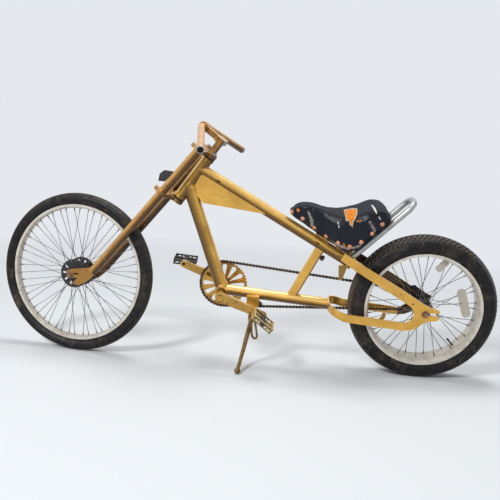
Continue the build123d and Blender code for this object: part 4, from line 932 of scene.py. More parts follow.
def build_chain(sizes):
    """The chain: waisted side plates, alternately inside and outside, pins and rollers.

    A plate's outline is a slot whose half height falls from 5.6 mm at the pins to 2.3 mm
    at its middle. Pins on the free runs are whole and carry a roller; on the teeth, and
    close to the sprocket, only their two ends show.
    """
    pins, on_span = chain_line(sizes.chain_links)
    following = np.roll(pins, -1, axis=0)
    middle = (pins + following) / 2
    along_flat = unit(following - pins)

    def row(flat, y):
        """Places (x, z) of the chain's plane, set y across."""
        return on_bike(np.stack((flat[:, 0], np.full(len(flat), y), flat[:, 1]), axis=-1))

    x, z = along_flat.T
    along = turn_on(on_bike, np.stack((x, 0 * x, z), axis=-1))
    upward = np.cross(along, REAR_AXIS)
    t = np.linspace(-1.25, 1.25, 5)
    end = np.stack((PITCH / 2 + 5.6 * np.cos(t), 5.6 * np.sin(t)), axis=-1)
    half = np.vstack((end, ((2.6, 2.9), (0.0, 2.3), (-2.6, 2.9))))
    outline = np.vstack((half, -end, ((-2.6, -2.9), (0.0, -2.3), (2.6, -2.9))))
    inner = np.arange(len(pins)) % 2 == 0
    thick = 0.9
    parts = [
        plates(outline, row(middle[choice], y), REAR_AXIS, along[choice], upward[choice], thick)
        for choice, offset in ((inner, 1.7), (~inner, 2.75))
        for y in (CHAIN_ACROSS + offset, CHAIN_ACROSS - offset - thick)
    ]
    new_piece("chain_plates", *joined(parts), "bike_frame", "dark_chain", "chain")
    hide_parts("chain")
    pin = ((0, 1.2), (0.3, 1.8), (7.4, 1.8), (7.7, 1.2))
    stub = ((0, 1.2), (0.2, 1.8), (1.9, 1.8), (2.1, 1.2))
    roller = ((0, 3.0), (0.3, 3.8), (2.9, 3.8), (3.2, 3.0))
    free = on_span & (np.linalg.norm(pins - (0.0, REAR_RADIUS), axis=1) > SPROCKET_CLEAR)
    # columns: profile, its places, where it starts across from the chain's middle, sides
    parts = [
        turned(profile, row(places, CHAIN_ACROSS + start), REAR_AXIS, sides)
        for profile, places, start, sides in (
            (pin, pins[free], -3.85, 8), (stub, pins[~free], -3.85, 8),
            (stub, pins[~free], 1.75, 8), (roller, pins[free], -1.6, 10),
        )
    ]
    new_piece("chain_pins", *joined(parts), "bike_frame", "dark_chain", "chain")


# Saddle


def photo_place(points):
    """Across and down, in pixels of a 500 by 500 view, of points seen by the camera.

    A point in the camera's own axes (x right, y up, z back) falls at 250 + f x / -z across
    and 250 - f y / -z down, with f the lens in pixels.
    """
    x, y, z = ((points - CAMERA["place"]) @ CAMERA["look"]).T
    return np.stack((VIEW_MIDDLE + LENS_PIXELS * x / -z, VIEW_MIDDLE - LENS_PIXELS * y / -z), axis=-1)


def depth_inside(points, outline):
    """Signed distance to a closed outline, above nought inside it.

    The distance is the least over the outline's edges, and a point is inside where a ray
    from it crosses an odd number of them.
    """
    a = np.asarray(outline, float)
    b = np.roll(a, -1, axis=0)
    p = points[:, None, :]
    run = (b - a)[None]
    share = np.clip(((p - a) * run).sum(-1) / (run**2).sum(-1), 0, 1)[..., None]
    distance = np.linalg.norm(p - a - share * run, axis=-1).min(axis=1)
    crosses = (a[None, :, 1] > p[..., 1]) != (b[None, :, 1] > p[..., 1])
    level = (p[..., 1] - a[None, :, 1]) / np.where(run[..., 1] == 0, 1e-9, run[..., 1])
    left = p[..., 0] < a[None, :, 0] + level * run[..., 0]
    return np.where((crosses & left).sum(axis=1) % 2 == 1, distance, -distance)


# Places on the saddle as the camera sees it: x and y in steps from MARK_START, a place in
# pixels. A pixel covers so many millimetres of the saddle
MARK_START = (280.0, 190.0)
STEPS_PER_PIXEL = 11.11
MM_PER_PIXEL = 3.95
SADDLE_MARKS = {
    "tear": (
        (
            (718, 230), (790, 214), (848, 215), (842, 262), (835, 290), (812, 330), (798, 392),
            (782, 372), (775, 326), (752, 338), (740, 318), (733, 268),
        ),
        ((850, 338), (868, 330), (874, 350), (856, 358)),
        ((876, 346), (900, 326), (906, 338), (884, 366)),
        ((180, 208), (205, 204), (226, 226), (214, 244), (190, 240)),
        ((700, 598), (716, 590), (724, 640), (708, 646)),
    ),
    "torn_edge": (
        (
            (706, 222), (790, 202), (860, 205), (858, 262), (848, 300), (824, 340), (804, 412),
            (776, 388), (766, 340), (744, 350), (728, 322), (720, 268),
        ),
    ),
    # The first outline is the vinyl's glossy highlight, painted white; the other two are thin scratches.
    "scratch_and_highlight": (
        ((1012, 168), (1026, 162), (1060, 204), (1082, 262), (1070, 268), (1044, 218)),
        ((1092, 300), (1100, 296), (1128, 330), (1120, 338)),
        ((640, 352), (648, 350), (660, 420), (652, 424)),
    ),
    "scuff": (
        ((985, 352), (1004, 346), (1058, 430), (1062, 470), (1044, 462), (996, 392)),
        ((300, 240), (322, 234), (372, 330), (366, 412), (340, 400), (336, 330)),
        ((560, 560), (640, 600), (760, 640), (900, 610), (900, 632), (760, 664), (620, 626)),
    ),
}
FAR_OUTSIDE = -40.0
# Studs along the saddle's lower edge
STUD_MARKS = (
    (133, 245), (252, 318), (380, 418), (510, 515), (645, 588), (775, 632), (903, 582), (1025, 485),
    (1138, 383), (1225, 268),
)
SWELL_STEPS = 20


def saddle_shell():
    """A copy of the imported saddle, welded to one skin."""
    source = frame["nodes"]["saddle"]
    mesh = source.data.copy()
    work = bmesh.new()
    work.from_mesh(mesh)
    bmesh.ops.remove_doubles(work, verts=work.verts, dist=1e-5)
    bmesh.ops.recalc_face_normals(work, faces=work.faces)
    work.to_mesh(mesh)
    work.free()
    mesh.materials.clear()
    shell = bpy.data.objects.new("saddle_skin", mesh)
    bpy.context.scene.collection.objects.link(shell)
    shell.matrix_world = source.matrix_world.copy()
    return shell


def apply_modifiers(piece):
    """Replaces the piece's mesh by what its modifiers make of it."""
    shaped = piece.evaluated_get(bpy.context.evaluated_depsgraph_get())
    mesh = bpy.data.meshes.new_from_object(shaped)
    piece.modifiers.clear()
    piece.data = mesh


def points_of(mesh):
    """A mesh's vertices and vertex normals as arrays."""
    points = np.empty(len(mesh.vertices) * 3)
    normals = np.empty(len(mesh.vertices) * 3)
    mesh.vertices.foreach_get("co", points)
    mesh.vertex_normals.foreach_get("vector", normals)
    return points.reshape(-1, 3), normals.reshape(-1, 3)


def build_saddle(sizes):
    """The padded saddle: a cloth skin blown up from a slightly smaller shell.

    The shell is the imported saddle, remeshed and drawn in along its normals. Pressure swells
    it, each vertex's move is cut to swell_cap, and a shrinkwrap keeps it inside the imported
    shape. Then each vertex gets, for each kind of mark, its distance inside the outlines in
    millimetres, where it faces the camera's place, and FAR_OUTSIDE elsewhere.
    """
    piece = saddle_shell()
    limit = saddle_shell()
    limit.name = "saddle_limit"
    remesh = piece.modifiers.new("even_skin", "REMESH")
    remesh.mode = "VOXEL"
    remesh.voxel_size = sizes.skin_step
    apply_modifiers(piece)
    soften = piece.modifiers.new("soft_edges", "SMOOTH")
    soften.iterations = 10
    apply_modifiers(piece)
    start, normals = points_of(piece.data)
    drawn = start - normals * sizes.draw_in
    piece.data.vertices.foreach_set("co", drawn.ravel())
    piece.data.update()
    cloth = piece.modifiers.new("padding", "CLOTH")
    cloth.settings.use_pressure = True
    cloth.settings.uniform_pressure_force = sizes.pressure
    cloth.settings.effector_weights.gravity = 0.0
    cloth.settings.tension_stiffness = 25.0
    cloth.settings.compression_stiffness = 25.0
    cloth.settings.shear_stiffness = 8.0
    cloth.settings.bending_stiffness = 0.4
    cloth.point_cache.frame_start = 1
    cloth.point_cache.frame_end = SWELL_STEPS
    for step in range(1, SWELL_STEPS + 1):
        bpy.context.scene.frame_set(step)
    apply_modifiers(piece)
    bpy.context.scene.frame_set(1)
    swollen, _ = points_of(piece.data)
    move = swollen - drawn
    length = np.linalg.norm(move, axis=1, keepdims=True)
    swollen = drawn + move * np.minimum(1.0, sizes.swell_cap / np.maximum(length, 1e-9))
    piece.data.vertices.foreach_set("co", swollen.ravel())
    piece.data.update()
    finer = piece.modifiers.new("finer", "SUBSURF")
    finer.levels = finer.render_levels = 1
    hold = piece.modifiers.new("hold_in", "SHRINKWRAP")
    hold.target = limit
    hold.wrap_method = "NEAREST_SURFACEPOINT"
    hold.wrap_mode = "INSIDE"
    hold.offset = 0.0004
    apply_modifiers(piece)
    bpy.data.objects.remove(limit)
    points, normals = points_of(piece.data)
    seen = photo_place(points)
    facing = ((CAMERA["place"] - points) * normals).sum(axis=1) > 0.0
    steps = (seen - MARK_START) * STEPS_PER_PIXEL
    mm_per_step = MM_PER_PIXEL / STEPS_PER_PIXEL
    for name, outlines in SADDLE_MARKS.items():
        deep = np.max([depth_inside(steps, outline) for outline in outlines], axis=0)
        values = np.where(facing, deep * mm_per_step, FAR_OUTSIDE)
        layer = piece.data.attributes.new(name, "FLOAT", "POINT")
        layer.data.foreach_set("value", values.astype(np.float32))
    piece.data.polygons.foreach_set("use_smooth", np.ones(len(piece.data.polygons), bool))
    piece.data.materials.clear()
    piece.data.materials.append(finish_of("vinyl"))
    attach(piece, "bike_frame")
    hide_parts("saddle")


def mirrored(points):
    """The same places on the bicycle's other side: the part along the rear axle changes sign."""
    return points - 2 * ((points - REAR_HUB) @ REAR_AXIS)[:, None] * REAR_AXIS


def build_studs(sizes):
    """Domed studs along both lower edges of the saddle.

    Each is put where the view's line through its mark meets the skin, or at the skin
    nearest to that line, and the far ones at the skin nearest to the mirror image. A dome
    is a turned quarter ellipse.
    """
    saddle = bpy.data.objects["saddle_skin"]
    tree = BVHTree.FromObject(saddle, bpy.context.evaluated_depsgraph_get())
    marks = np.array(STUD_MARKS, float) / STEPS_PER_PIXEL + MARK_START
    across, down = marks.T
    x, y = (across - VIEW_MIDDLE) / LENS_PIXELS, (VIEW_MIDDLE - down) / LENS_PIXELS
    lines = unit(np.column_stack((x, y, 0 * x - 1)) @ CAMERA["look"].T)
    middle = np.array(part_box("saddle")).mean(axis=0)
    beside = CAMERA["place"] + lines * ((middle - CAMERA["place"]) @ lines.T)[:, None]
    hits = [tree.ray_cast(Vector(CAMERA["place"]), Vector(line)) for line in lines]
    hits = [
        hit if hit[0] is not None else tree.find_nearest(Vector(place))
        for hit, place in zip(hits, beside)
    ]
    near = np.array([tuple(hit[0]) for hit in hits])
    hits += [tree.find_nearest(Vector(place)) for place in mirrored(near)]
    places, outward = (np.array([tuple(hit[column]) for hit in hits]) for column in (0, 1))
    outward *= np.sign(((places - middle) * outward).sum(axis=1, keepdims=True))
    r = sizes.stud_radius
    t = np.linspace(0.0, math.pi / 2 * 0.97, 7)
    dome = [(-1.5, r * 0.6), (0.0, r), *zip(0.3 + r * 0.5 * np.sin(t), r * np.cos(t))]
    studs = turned(dome, places, outward, 20)
    new_piece("saddle_studs", *studs, "bike_frame", "dull_steel", "copper", 50.0)


# Welds, head parts, side stand, bolts, covers and pedals


def tube_meeting(a_point, a_run, a_radius, b_point, b_run, b_radius, side, count=72):
    """The line where a round tube meets another's surface.

    From each point round tube a, at a_radius from its axis, the surface line a_point +
    radius + s * run meets tube b where its distance from b's axis is b_radius: a quadratic
    in s, of which the root on the given side is kept.
    """
    a_run, b_run = unit(a_run), unit(b_run)
    first, second = side_axes(a_run)
    t = np.linspace(0.0, 2 * math.pi, count, endpoint=False)[:, None]
    base = a_point + a_radius * (np.cos(t) * first + np.sin(t) * second) - b_point
    flat = base - (base @ b_run)[:, None] * b_run
    run = a_run - (a_run @ b_run) * b_run
    aa = run @ run
    bb = flat @ run
    cc = (flat**2).sum(axis=1) - b_radius**2
    s = (-bb + side * np.sqrt(np.clip(bb**2 - aa * cc, 0.0, None))) / aa
    return on_bike(base + b_point + s[:, None] * a_run)


def build_welds():
    """A smooth bead round each joint of the frame's round tubes.

    The bead's half thickness is 2.3 mm, rippled by a product of two sines round the tube.
    """
    head, bracket = np.array((HEAD_X, 0.0, HEAD_Z)), np.array((BRACKET_X, 0.0, BRACKET_Z))
    side = np.array((0.0, 1.0, 0.0))
    head_tube, backbone, down_tube, low_tube, shell = 21.0, 21.0, 24.0, 20.0, 21.0
    down = head - HEAD_LINE * 32.0
    back = head + HEAD_LINE * 40.0
    back_end = np.array((-290.0, 0.0, 430.0))
    low_end = np.array((-348.0, 0.0, 258.0))
    # columns: tube start, its run, its radius, the tube it meets, its run, its radius, side
    joints = (
        (back, back_end - back, backbone, head, HEAD_LINE, head_tube, 1),
        (down, bracket - down, down_tube, head, HEAD_LINE, head_tube, 1),
        (bracket, down - bracket, down_tube, bracket, side, shell, 1),
        (bracket, low_end - bracket, low_tube, bracket, side, shell, 1),
    )
    t = np.linspace(0.0, 2 * math.pi, 72, endpoint=False)
    radius = 2.3 + 0.3 * np.sin(9 * t) * np.sin(4 * t + 1.0)
    parts = [swept(tube_meeting(*joint), radius, 8, closed=True) for joint in joints]
    new_piece("frame_welds", *joined(parts), "bike_frame", "gold_paint", "gold")


def build_head_parts():
    """Two headset rings, the steerer's cap and the clamp's two socket screws, all turned.

    Their places are millimetres up the steering axis from the head tube's middle.
    """
    ring = (
        (0, 15), (0, 20), (0.8, 22), (2.2, 22.4), (3.0, 21.4), (3.8, 22.4), (5.2, 22), (5.8, 20),
        (5.8, 15),
    )
    cap = ((0, 12), (0, 17.5), (1.0, 18.4), (6.0, 18.4), (7.5, 17.0), (8.2, 11.0), (6.8, 9.0))
    socket = ((0, 5.2), (3.6, 5.4), (4.4, 4.8), (4.4, 2.6), (1.4, 2.4), (1.2, 0.4))
    screws = (on_head(109.5, -4.0, -20.0), on_head(109.5, -4.0, 20.0))
    # columns: name, profile, places, sides, slot, finish
    for name, profile, places, sides, slot, finish in (
        ("headset_rings", ring, (on_head(89.6), on_head(-95.4)), 40, "black_metal", "hub"),
        ("steerer_cap", cap, (on_head(109.4),), 36, "dull_steel", "steel"),
        ("clamp_screws", socket, screws, 18, "black_metal", "plastic"),
    ):
        new_piece(name, *turned(profile, on_fork(places), HEAD_UP, sides), "fork", slot, finish)


def build_stand_spring():
    """The return spring beside the stand's knuckle, a helix between two ends, and its loop.

    A point is start + s * run + radius * (cos(2 pi n s) * a + sin(2 pi n s) * b), its
    radius narrowing to nought at both ends. The loop is a round bar along a smooth curve.
    """
    start, end = on_bike(((-616.0, -62.0, 226.0), (-636.0, -70.0, 138.0)))
    run = end - start
    turns, coil_radius, wire_radius = 17, 5.2, 1.1
    first, second = side_axes(run)
    s = np.linspace(0.0, 1.0, 420)[:, None]
    wide = coil_radius * MM * smooth_step(0.04, 0.12, s) * smooth_step(0.04, 0.12, 1 - s)
    turn = 2 * math.pi * turns * s
    path = start + s * run + wide * (np.cos(turn) * first + np.sin(turn) * second)
    new_piece("stand_spring", *swept(path, wire_radius, 7), "side_stand", "dull_steel", "stand")
    bend = (
        (-624, -66, 204), (-622, -66, 170), (-619, -67, 138), (-613, -67, 126), (-605, -67, 124),
        (-600, -67, 132), (-604, -66, 158), (-614, -65, 206),
    )
    loop = swept(on_bike(smooth_line(bend, 60)), 4.2, 14)
    new_piece("stand_loop", *loop, "side_stand", "dull_steel", "stand")


def build_stand():
    """The stand's leg: a knuckle round the pin and one bent bar ending in a rounded foot.

    The bar's half thickness narrows from 8.5 mm at the knuckle to 6.8 mm, then swells to
    the foot's 11 mm and closes along a quarter circle.
    """
    place, axis = joint_line("stand_fold")
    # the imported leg's bend and the middle of its foot, in the row's metres
    knee, foot = np.array((0.0106, 0.0272, 0.0588)), np.array((-0.0026, -0.0625, 0.0065))
    upper = [place + (knee - place) * share for share in (0.0, 0.5, 0.88)]
    lower = [knee + (foot - knee) * share for share in (0.16, 0.6, 1.0)]
    path = smooth_line(upper + lower, 90)
    s = np.linspace(0.0, 1.0, 90)
    radius = 8.5 - 1.7 * smooth_step(0.0, 0.8, s) + 4.2 * smooth_step(0.86, 0.95, s)
    closing = ((s - 0.955) / 0.0452).clip(0)
    radius = np.maximum(radius * np.sqrt(np.clip(1 - closing**2, 0, 1)), 0.6)
    knuckle = ((-7.0, 6.0), (-7.0, 11.6), (-6.0, 12.8), (6.0, 12.8), (7.0, 11.6), (7.0, 6.0))
    leg = joined((swept(path, radius, 20), turned(knuckle, place, axis, 32)))
    piece = new_piece("stand_bar", *leg, "side_stand", "dull_steel", "stand")
    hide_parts("stand_leg")


def mount_end(name):
    """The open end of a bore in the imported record, and its outward direction."""
    mount = next(mount for mount in frame["record"]["mounts"] if mount["name"] == name)
    axis = unit(mount["axis"])
    return np.array(mount["pos_m"], float) + axis * mount["dims"]["length_mm"] / 2 * MM, axis


def build_bar_ends():
    """A worn bright ring on each open end of the bar, and a near-black plug inside it as painted shade.

    A ring is a turned profile without its two flat caps, closed from its last row of points
    back to its first.
    """
    ring = (
        (-9.0, 12.6), (-8.4, 13.0), (-0.6, 12.9), (0.5, 12.4), (0.5, 11.0), (-0.6, 10.7), (-9.0, 10.7),
    )
    sides = 36
    ends = [mount_end("left_bar_bore"), mount_end("right_bar_bore")]
    places, runs = (np.array(column) for column in zip(*ends))
    points, faces = turned(ring, places, runs, sides)
    faces = [face for face in faces if len(face) == 4]
    rows = np.concatenate((np.arange(sides) + (len(ring) - 1) * sides, np.arange(sides)))
    for index in range(len(ends)):
        faces += (rows + index * len(ring) * sides)[grid_faces(2, sides, wrap_columns=True)].tolist()
    new_piece("bar_end_rings", points, faces, "fork", "dull_steel", "steel")
    # A near-black cup closes each bore: painted shade inside the open tube.
    bore = ((-14.0, 9.0), (-1.2, 10.8), (-1.2, 3.0), (-1.0, 1.0))
    new_piece("bar_bore_painted_shade", *turned(bore, places, runs, 24), "fork", "black_metal", "bore")


def build_fasteners():
    """Axle cones and lock nuts, the crank's boss, a frame bolt, the seat tube's clamp bolt
    and a nub on each fork leg.

    Each is a turned profile; six sides make it a nut or a bolt's head.
    """
    both = np.array((-1.0, 1.0))[:, None]
    cone = ((0, 5.2), (0, 9.5), (3.0, 9.0), (6.5, 6.8), (7.0, 5.2))
    nut = ((0, 5.2), (0, 8.4), (0.6, 9.2), (4.0, 9.2), (4.4, 8.4), (4.4, 5.2))
    # columns: name, body, hub, axis, where cone and nut start from the hub's middle
    for name, body, hub, axis, starts in (
        ("rear_cones", "bike_frame", REAR_HUB, REAR_AXIS, (66.0, 73.2)),
        ("front_cones", "fork", FRONT_HUB, FRONT_AXIS, (40.0, 47.6)),
    ):
        parts = [
            turned(profile, hub + both * start * MM * axis, both * axis, sides)
            for start, profile, sides in zip(starts, (cone, nut), (24, 6))
        ]
        new_piece(name, *joined(parts), body, "dull_steel", "nut", 28.0)

    boss = (
        (0.0, 19.0), (1.0, 20.0), (2.5, 20.0), (3.0, 15.8), (12.0, 15.6), (14.5, 14.6), (15.5, 12.0),
        (14.2, 9.0), (13.6, 3.0),
    )
    boss_out = 84.0
    boss_at = joint_line("crank_spin")[0] - boss_out * MM * REAR_AXIS
    new_piece(
        "crank_boss", *turned(boss, boss_at, -REAR_AXIS, 36), "crankset", "dull_steel", "crank_gold", 30.0
    )

    bolt = ((-0.5, 4.6), (0, 5.6), (0.5, 6.3), (3.8, 6.3), (4.4, 5.6), (4.6, 3.0))
    washer = ((-0.5, 8.2), (0.2, 8.4), (1.0, 8.0), (1.1, 5.0))
    spot = on_bike((-621.0, -30.5, 250.0))
    outward = turn_on(on_bike, (0.0, -1.0, 0.0))
    parts = [turned(washer, spot, outward, 24), turned(bolt, spot + outward * 1.0 * MM, outward, 6)]
    new_piece("frame_bolts", *joined(parts), "bike_frame", "dull_steel", "nut", 28.0)

    clamp = (
        (-4.0, 6.0), (2.0, 6.0), (2.2, 9.6), (4.2, 9.8), (4.4, 7.0), (10.0, 7.0), (10.2, 10.4),
        (19.0, 10.6), (20.4, 8.4),
    )
    clamp_run = turn_on(on_bike, (0.874, 0.0, -0.486))
    clamp_bolt = turned(clamp, on_bike((-393.0, -4.0, 440.0)), clamp_run, 12)
    new_piece("seat_clamp_bolt", *clamp_bolt, "bike_frame", "black_metal", "hub")

    nub = ((-2.0, 5.2), (1.5, 5.2), (2.4, 4.6), (4.8, 4.4), (5.4, 3.6))
    places = on_fork(((-872.3, -57.0, 767.9), (-872.3, 57.0, 767.9)))
    nubs = turned(nub, places, turn_on(on_fork, (-0.783, 0.0, 0.622)), 18)
    new_piece("leg_nubs", *nubs, "fork", "gold_paint", "fork_gold")


def bevelled(piece, name, width, segments):
    """Rounds a piece's edges over a width in millimetres."""
    bevel = piece.modifiers.new(name, "BEVEL")
    bevel.width = width * MM
    bevel.segments = segments


def build_covers():
    """The chain's black guard with its lump, the stand's hook and the reflector bracket.

    Each outline is carried across by its thickness, and a bevel rounds its edges.
    """
    # columns: name, replaced node, body, placer, start across, thickness, outline in x and z
    rows = (
        (
            "guard_shell", "chain_guard", "bike_frame", on_bike, 68.5, 5.0,
            ((-46, 317), (-29, 286), (-7, 278), (14, 263), (26, 278), (18, 305), (-19, 331), (-36, 327)),
        ),
        (
            "guard_lump", None, "bike_frame", on_bike, 66.0, 4.5,
            ((11, 273), (13, 252), (34, 235), (57, 234), (61, 248), (42, 260)),
        ),
        (
            "bracket_hook", None, "bike_frame", on_bike, 6.0, 22.0,
            ((-618, 240), (-601, 241), (-588, 228), (-592, 216), (-602, 222), (-618, 226)),
        ),
        (
            "reflector_bracket_shell", "reflector_bracket", "fork", on_fork, -44.0, 16.0,
            ((-982, 678), (-960, 678), (-950, 690), (-930, 700), (-930, 716), (-962, 718), (-978, 704)),
        ),
    )
    for name, node, body, placer, start, thickness, outline in rows:
        outline = np.array(outline, float)
        middle = outline.mean(axis=0)
        base = placer(((middle[0], start, middle[1]),))
        along, side, upward = (turn_on(placer, axis)[None] for axis in np.eye(3))
        points, faces = plates(outline - middle, base, side, along, upward, thickness)
        piece = new_piece(name, points, faces, body, "black_plastic", "plastic")
        bevelled(piece, "rolled_edge", 1.4, 3)
        if node:
            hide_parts(node)


def bars(rows, centre, axes):
    """Square bars: each row holds a bar's middle and half sizes along the three axes.

    A corner is centre + (middle + sign * half size) on each axis, for the eight signs.
    """
    rows = np.asarray(rows, float) * MM
    signs = np.array([(x, y, z) for x in (-1, 1) for y in (-1, 1) for z in (-1, 1)])
    local = rows[:, None, :3] + signs[None] * rows[:, None, 3:]
    points = centre + local @ np.asarray(axes)
    one = np.array(((0, 1, 3, 2), (4, 6, 7, 5), (0, 4, 5, 1), (2, 3, 7, 6), (0, 2, 6, 4), (1, 5, 7, 3)))
    faces = (one[None] + (np.arange(len(rows)) * 8)[:, None, None]).reshape(-1, 4)
    return points.reshape(-1, 3), faces.tolist()


PEDAL_LENGTH, PEDAL_WIDTH = 41.5, 36.5


def cage_rows():
    """A pedal's cage as bars in its own axes: forward, outward and up.

    The long plates, ahead and behind, are two rails with four posts between them and a row
    of teeth above and below. The end plates are two rails with four posts, and four short
    struts reach from the barrel to the long plates.
    """
    # columns: middle forward, outward and up, then half sizes forward, outward and up
    rows = []
    for run in (-PEDAL_LENGTH, PEDAL_LENGTH):
        rows += [(run, 0, 7.6, 1.8, 38.0, 2.8), (run, 0, -7.6, 1.8, 38.0, 2.8)]
        rows += [(run, out, 0, 1.8, 4.2, 8.0) for out in (-34.0, -11.0, 11.0, 34.0)]
        rows += [(run, out, up, 1.6, 2.6, 1.6) for out in np.linspace(-34, 34, 8) for up in (-11.0, 11.0)]
    for out in (-PEDAL_WIDTH, PEDAL_WIDTH):
        rows += [(0, out, 7.2, PEDAL_LENGTH, 1.8, 3.0), (0, out, -7.2, PEDAL_LENGTH, 1.8, 3.0)]
        rows += [(run, out, 0, 3.0, 1.6, 8.0) for run in (-38.0, -20.0, 20.0, 38.0)]
    return rows + [(run, out, 0, 14.0, 4.0, 5.0) for run in (-26.0, 26.0) for out in (-17.0, 17.0)]


def build_pedals():
    """Both pedals: a toothed cage of square bars round a ribbed barrel with an end cap.

    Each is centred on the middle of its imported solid, on the pedal's axle, and tilted about
    it. The barrel is a turned profile with nine ribs in even steps.
    """
    ribs = [(-37.0, 9.6)]
    for out in np.linspace(-33.0, 33.0, 9):
        ribs += [(out - 2.6, 9.0), (out - 1.8, 10.6), (out + 1.8, 10.6), (out + 2.6, 9.0)]
    ribs += [(37.0, 9.6), (37.6, 7.4), (39.4, 6.6), (40.0, 4.0)]
    # columns: name's side, outward along the rear axle or against it, tilt in degrees, finish
    for hand, sign, tilt, finish in (
        ("left", -1.0, 38.0, "pale_gold"), ("right", 1.0, 4.0, "pedal_dark"),
    ):
        node, body = f"pedal_{hand}", f"{hand}_pedal"
        place, _ = joint_line(f"{hand}_pedal_spin")
        outward = REAR_AXIS * sign
        middle = np.array(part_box(node)).mean(axis=0)
        centre = place + outward * ((middle - place) @ outward)
        a = math.radians(tilt)
        forward = BIKE_X * math.cos(a) - BIKE_Z * math.sin(a)
        upward = BIKE_X * math.sin(a) + BIKE_Z * math.cos(a)
        cage = bars(cage_rows(), centre, (forward, outward, upward))
        piece = new_piece(f"{hand}_pedal_cage", *cage, body, "gold_paint", finish)
        bevelled(piece, "worn_edges", 0.7, 2)
        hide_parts(node)
        barrel = turned(ribs, centre, outward, 28)
        new_piece(f"{hand}_pedal_barrel", *barrel, body, "black_metal", "pedal_dark")


# Paint and studio


def paint_nodes():
    """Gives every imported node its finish."""
    for finish, names in NODE_FINISHES.items():
        for name in names.split():
            node = frame["nodes"][name]
            while len(node.material_slots) < 1:
                node.data.materials.append(None)
            for slot in node.material_slots:
                slot.material = finish_of(finish)
    unpainted = set(frame["nodes"]) - set(" ".join(NODE_FINISHES.values()).split())
    if unpainted:
        raise RuntimeError(f"no finish for {sorted(unpainted)}")


def pale_floor(colour):
    """The floor's finish: plain and pale, fading into the backdrop from 1.3 to 3.6 m away."""
    made = Finish("studio_floor", roughness=0.9, Specular_IOR_Level=0.1)
    made.put("Base Color", tuple(colour))
    made.material.surface_render_method = "BLENDED"
    out = made.distance_from((0.0, 0.0, 0.0))
    fade = made.ramp(made.math("MULTIPLY", out, 0.1), (0.13, 0.0), (0.36, 1.0))
    clear = made.node("ShaderNodeBsdfTransparent")
    blend = made.node("ShaderNodeMixShader")
    made.link(fade, blend.inputs[0])
    made.link(made.shader.outputs[0], blend.inputs[1])
    made.link(clear.outputs[0], blend.inputs[2])
    output = next(node for node in made.tree.nodes if node.type == "OUTPUT_MATERIAL")
    made.link(blend.outputs[0], output.inputs["Surface"])
    return made.material


def build_studio(studio):
    """Floor, lamps, backdrop and the camera at the photograph's place.

    The world lights softly, and camera, mirror and see-through rays find the backdrop's
    colour in it instead.
    """
    scene = bpy.context.scene
    scene.view_settings.view_transform = "Standard"
    data = bpy.data.cameras.new("camera")
    data.lens, data.sensor_width, data.clip_end = CAMERA["lens"], CAMERA["sensor"], 100.0
    camera = bpy.data.objects.new("camera", data)
    scene.collection.objects.link(camera)
    matrix = np.eye(4)
    matrix[:3, :3], matrix[:3, 3] = CAMERA["look"], CAMERA["place"]
    camera.matrix_world = Matrix(matrix.tolist())
    scene.camera = camera

    reach, lines = 9.0, 7
    u = np.linspace(-reach, reach, lines)
    x, y = np.meshgrid(u, u, indexing="ij")
    points = np.stack((x, y, 0 * x), axis=-1).reshape(-1, 3)
    mesh = bpy.data.meshes.new("floor")
    mesh.from_pydata(points.tolist(), [], grid_faces(lines, lines).tolist())
    mesh.materials.append(pale_floor(studio.floor))
    floor = bpy.data.objects.new("floor", mesh)
    scene.collection.objects.link(floor)

    world = bpy.data.worlds.new("studio")
    world.use_nodes = True
    tree = world.node_tree
    light = tree.nodes["Background"]
    light.inputs["Color"].default_value = (1.0, 1.0, 1.0, 1.0)
    light.inputs["Strength"].default_value = studio.world_light
    backdrop = tree.nodes.new("ShaderNodeBackground")
    backdrop.inputs["Color"].default_value = (*studio.backdrop, 1.0)
    rays = tree.nodes.new("ShaderNodeLightPath")
    share = rays.outputs["Is Camera Ray"]
    for ray in ("Is Glossy Ray", "Is Transmission Ray"):
        add = tree.nodes.new("ShaderNodeMath")
        add.operation = "MAXIMUM"
        tree.links.new(share, add.inputs[0])
        tree.links.new(rays.outputs[ray], add.inputs[1])
        share = add.outputs[0]
    blend = tree.nodes.new("ShaderNodeMixShader")
    tree.links.new(share, blend.inputs[0])
    tree.links.new(light.outputs[0], blend.inputs[1])
    tree.links.new(backdrop.outputs[0], blend.inputs[2])
    tree.links.new(blend.outputs[0], tree.nodes["World Output"].inputs["Surface"])
    scene.world = world

    # columns: name, place, aim, size, energy
    for name, place, aim, size, energy in (
        ("key", (-2.6, -4.4, 4.2), (0.0, 0.0, 0.35), 1.1, studio.key_light),
        ("top", (0.4, 0.6, 4.4), (0.1, 0.0, 0.3), 1.6, studio.top_light),
    ):
        lamp_data = bpy.data.lights.new(name, "AREA")
        lamp_data.size = size
        lamp_data.energy = energy
        lamp = bpy.data.objects.new(name, lamp_data)
        lamp.location = place
        lamp.rotation_euler = (Vector(aim) - Vector(place)).to_track_quat("-Z", "Y").to_euler()
        scene.collection.objects.link(lamp)


# The add-on: settings, one operator for each piece or group, and their panel


def colour_property(name, description, default):
    """A colour setting."""
    return FloatVectorProperty(
        name=name, description=description, subtype="COLOR", size=3, min=0.0, max=1.0, default=default
    )


class ChopperColours(bpy.types.PropertyGroup):
    """Colours of the bicycle's finishes"""

    gold: colour_property("Frame gold", "Gold paint of the frame tubes", (0.80, 0.455, 0.075))
    fork_gold: colour_property("Fork gold", "Browner gold of fork and bar", (0.60, 0.30, 0.055))
    rim: colour_property("Rim", "Cream paint of both rims", (0.70, 0.66, 0.58))
    rust: colour_property("Rust", "Rust on paint and metal", (0.13, 0.045, 0.014))
    vinyl: colour_property("Saddle", "Black vinyl of the saddle", (0.006, 0.008, 0.018))
    foam: colour_property("Foam", "Foam in the saddle's tears", (0.86, 0.29, 0.03))
    copper: colour_property("Studs", "Copper-coloured saddle studs", (0.78, 0.37, 0.22))


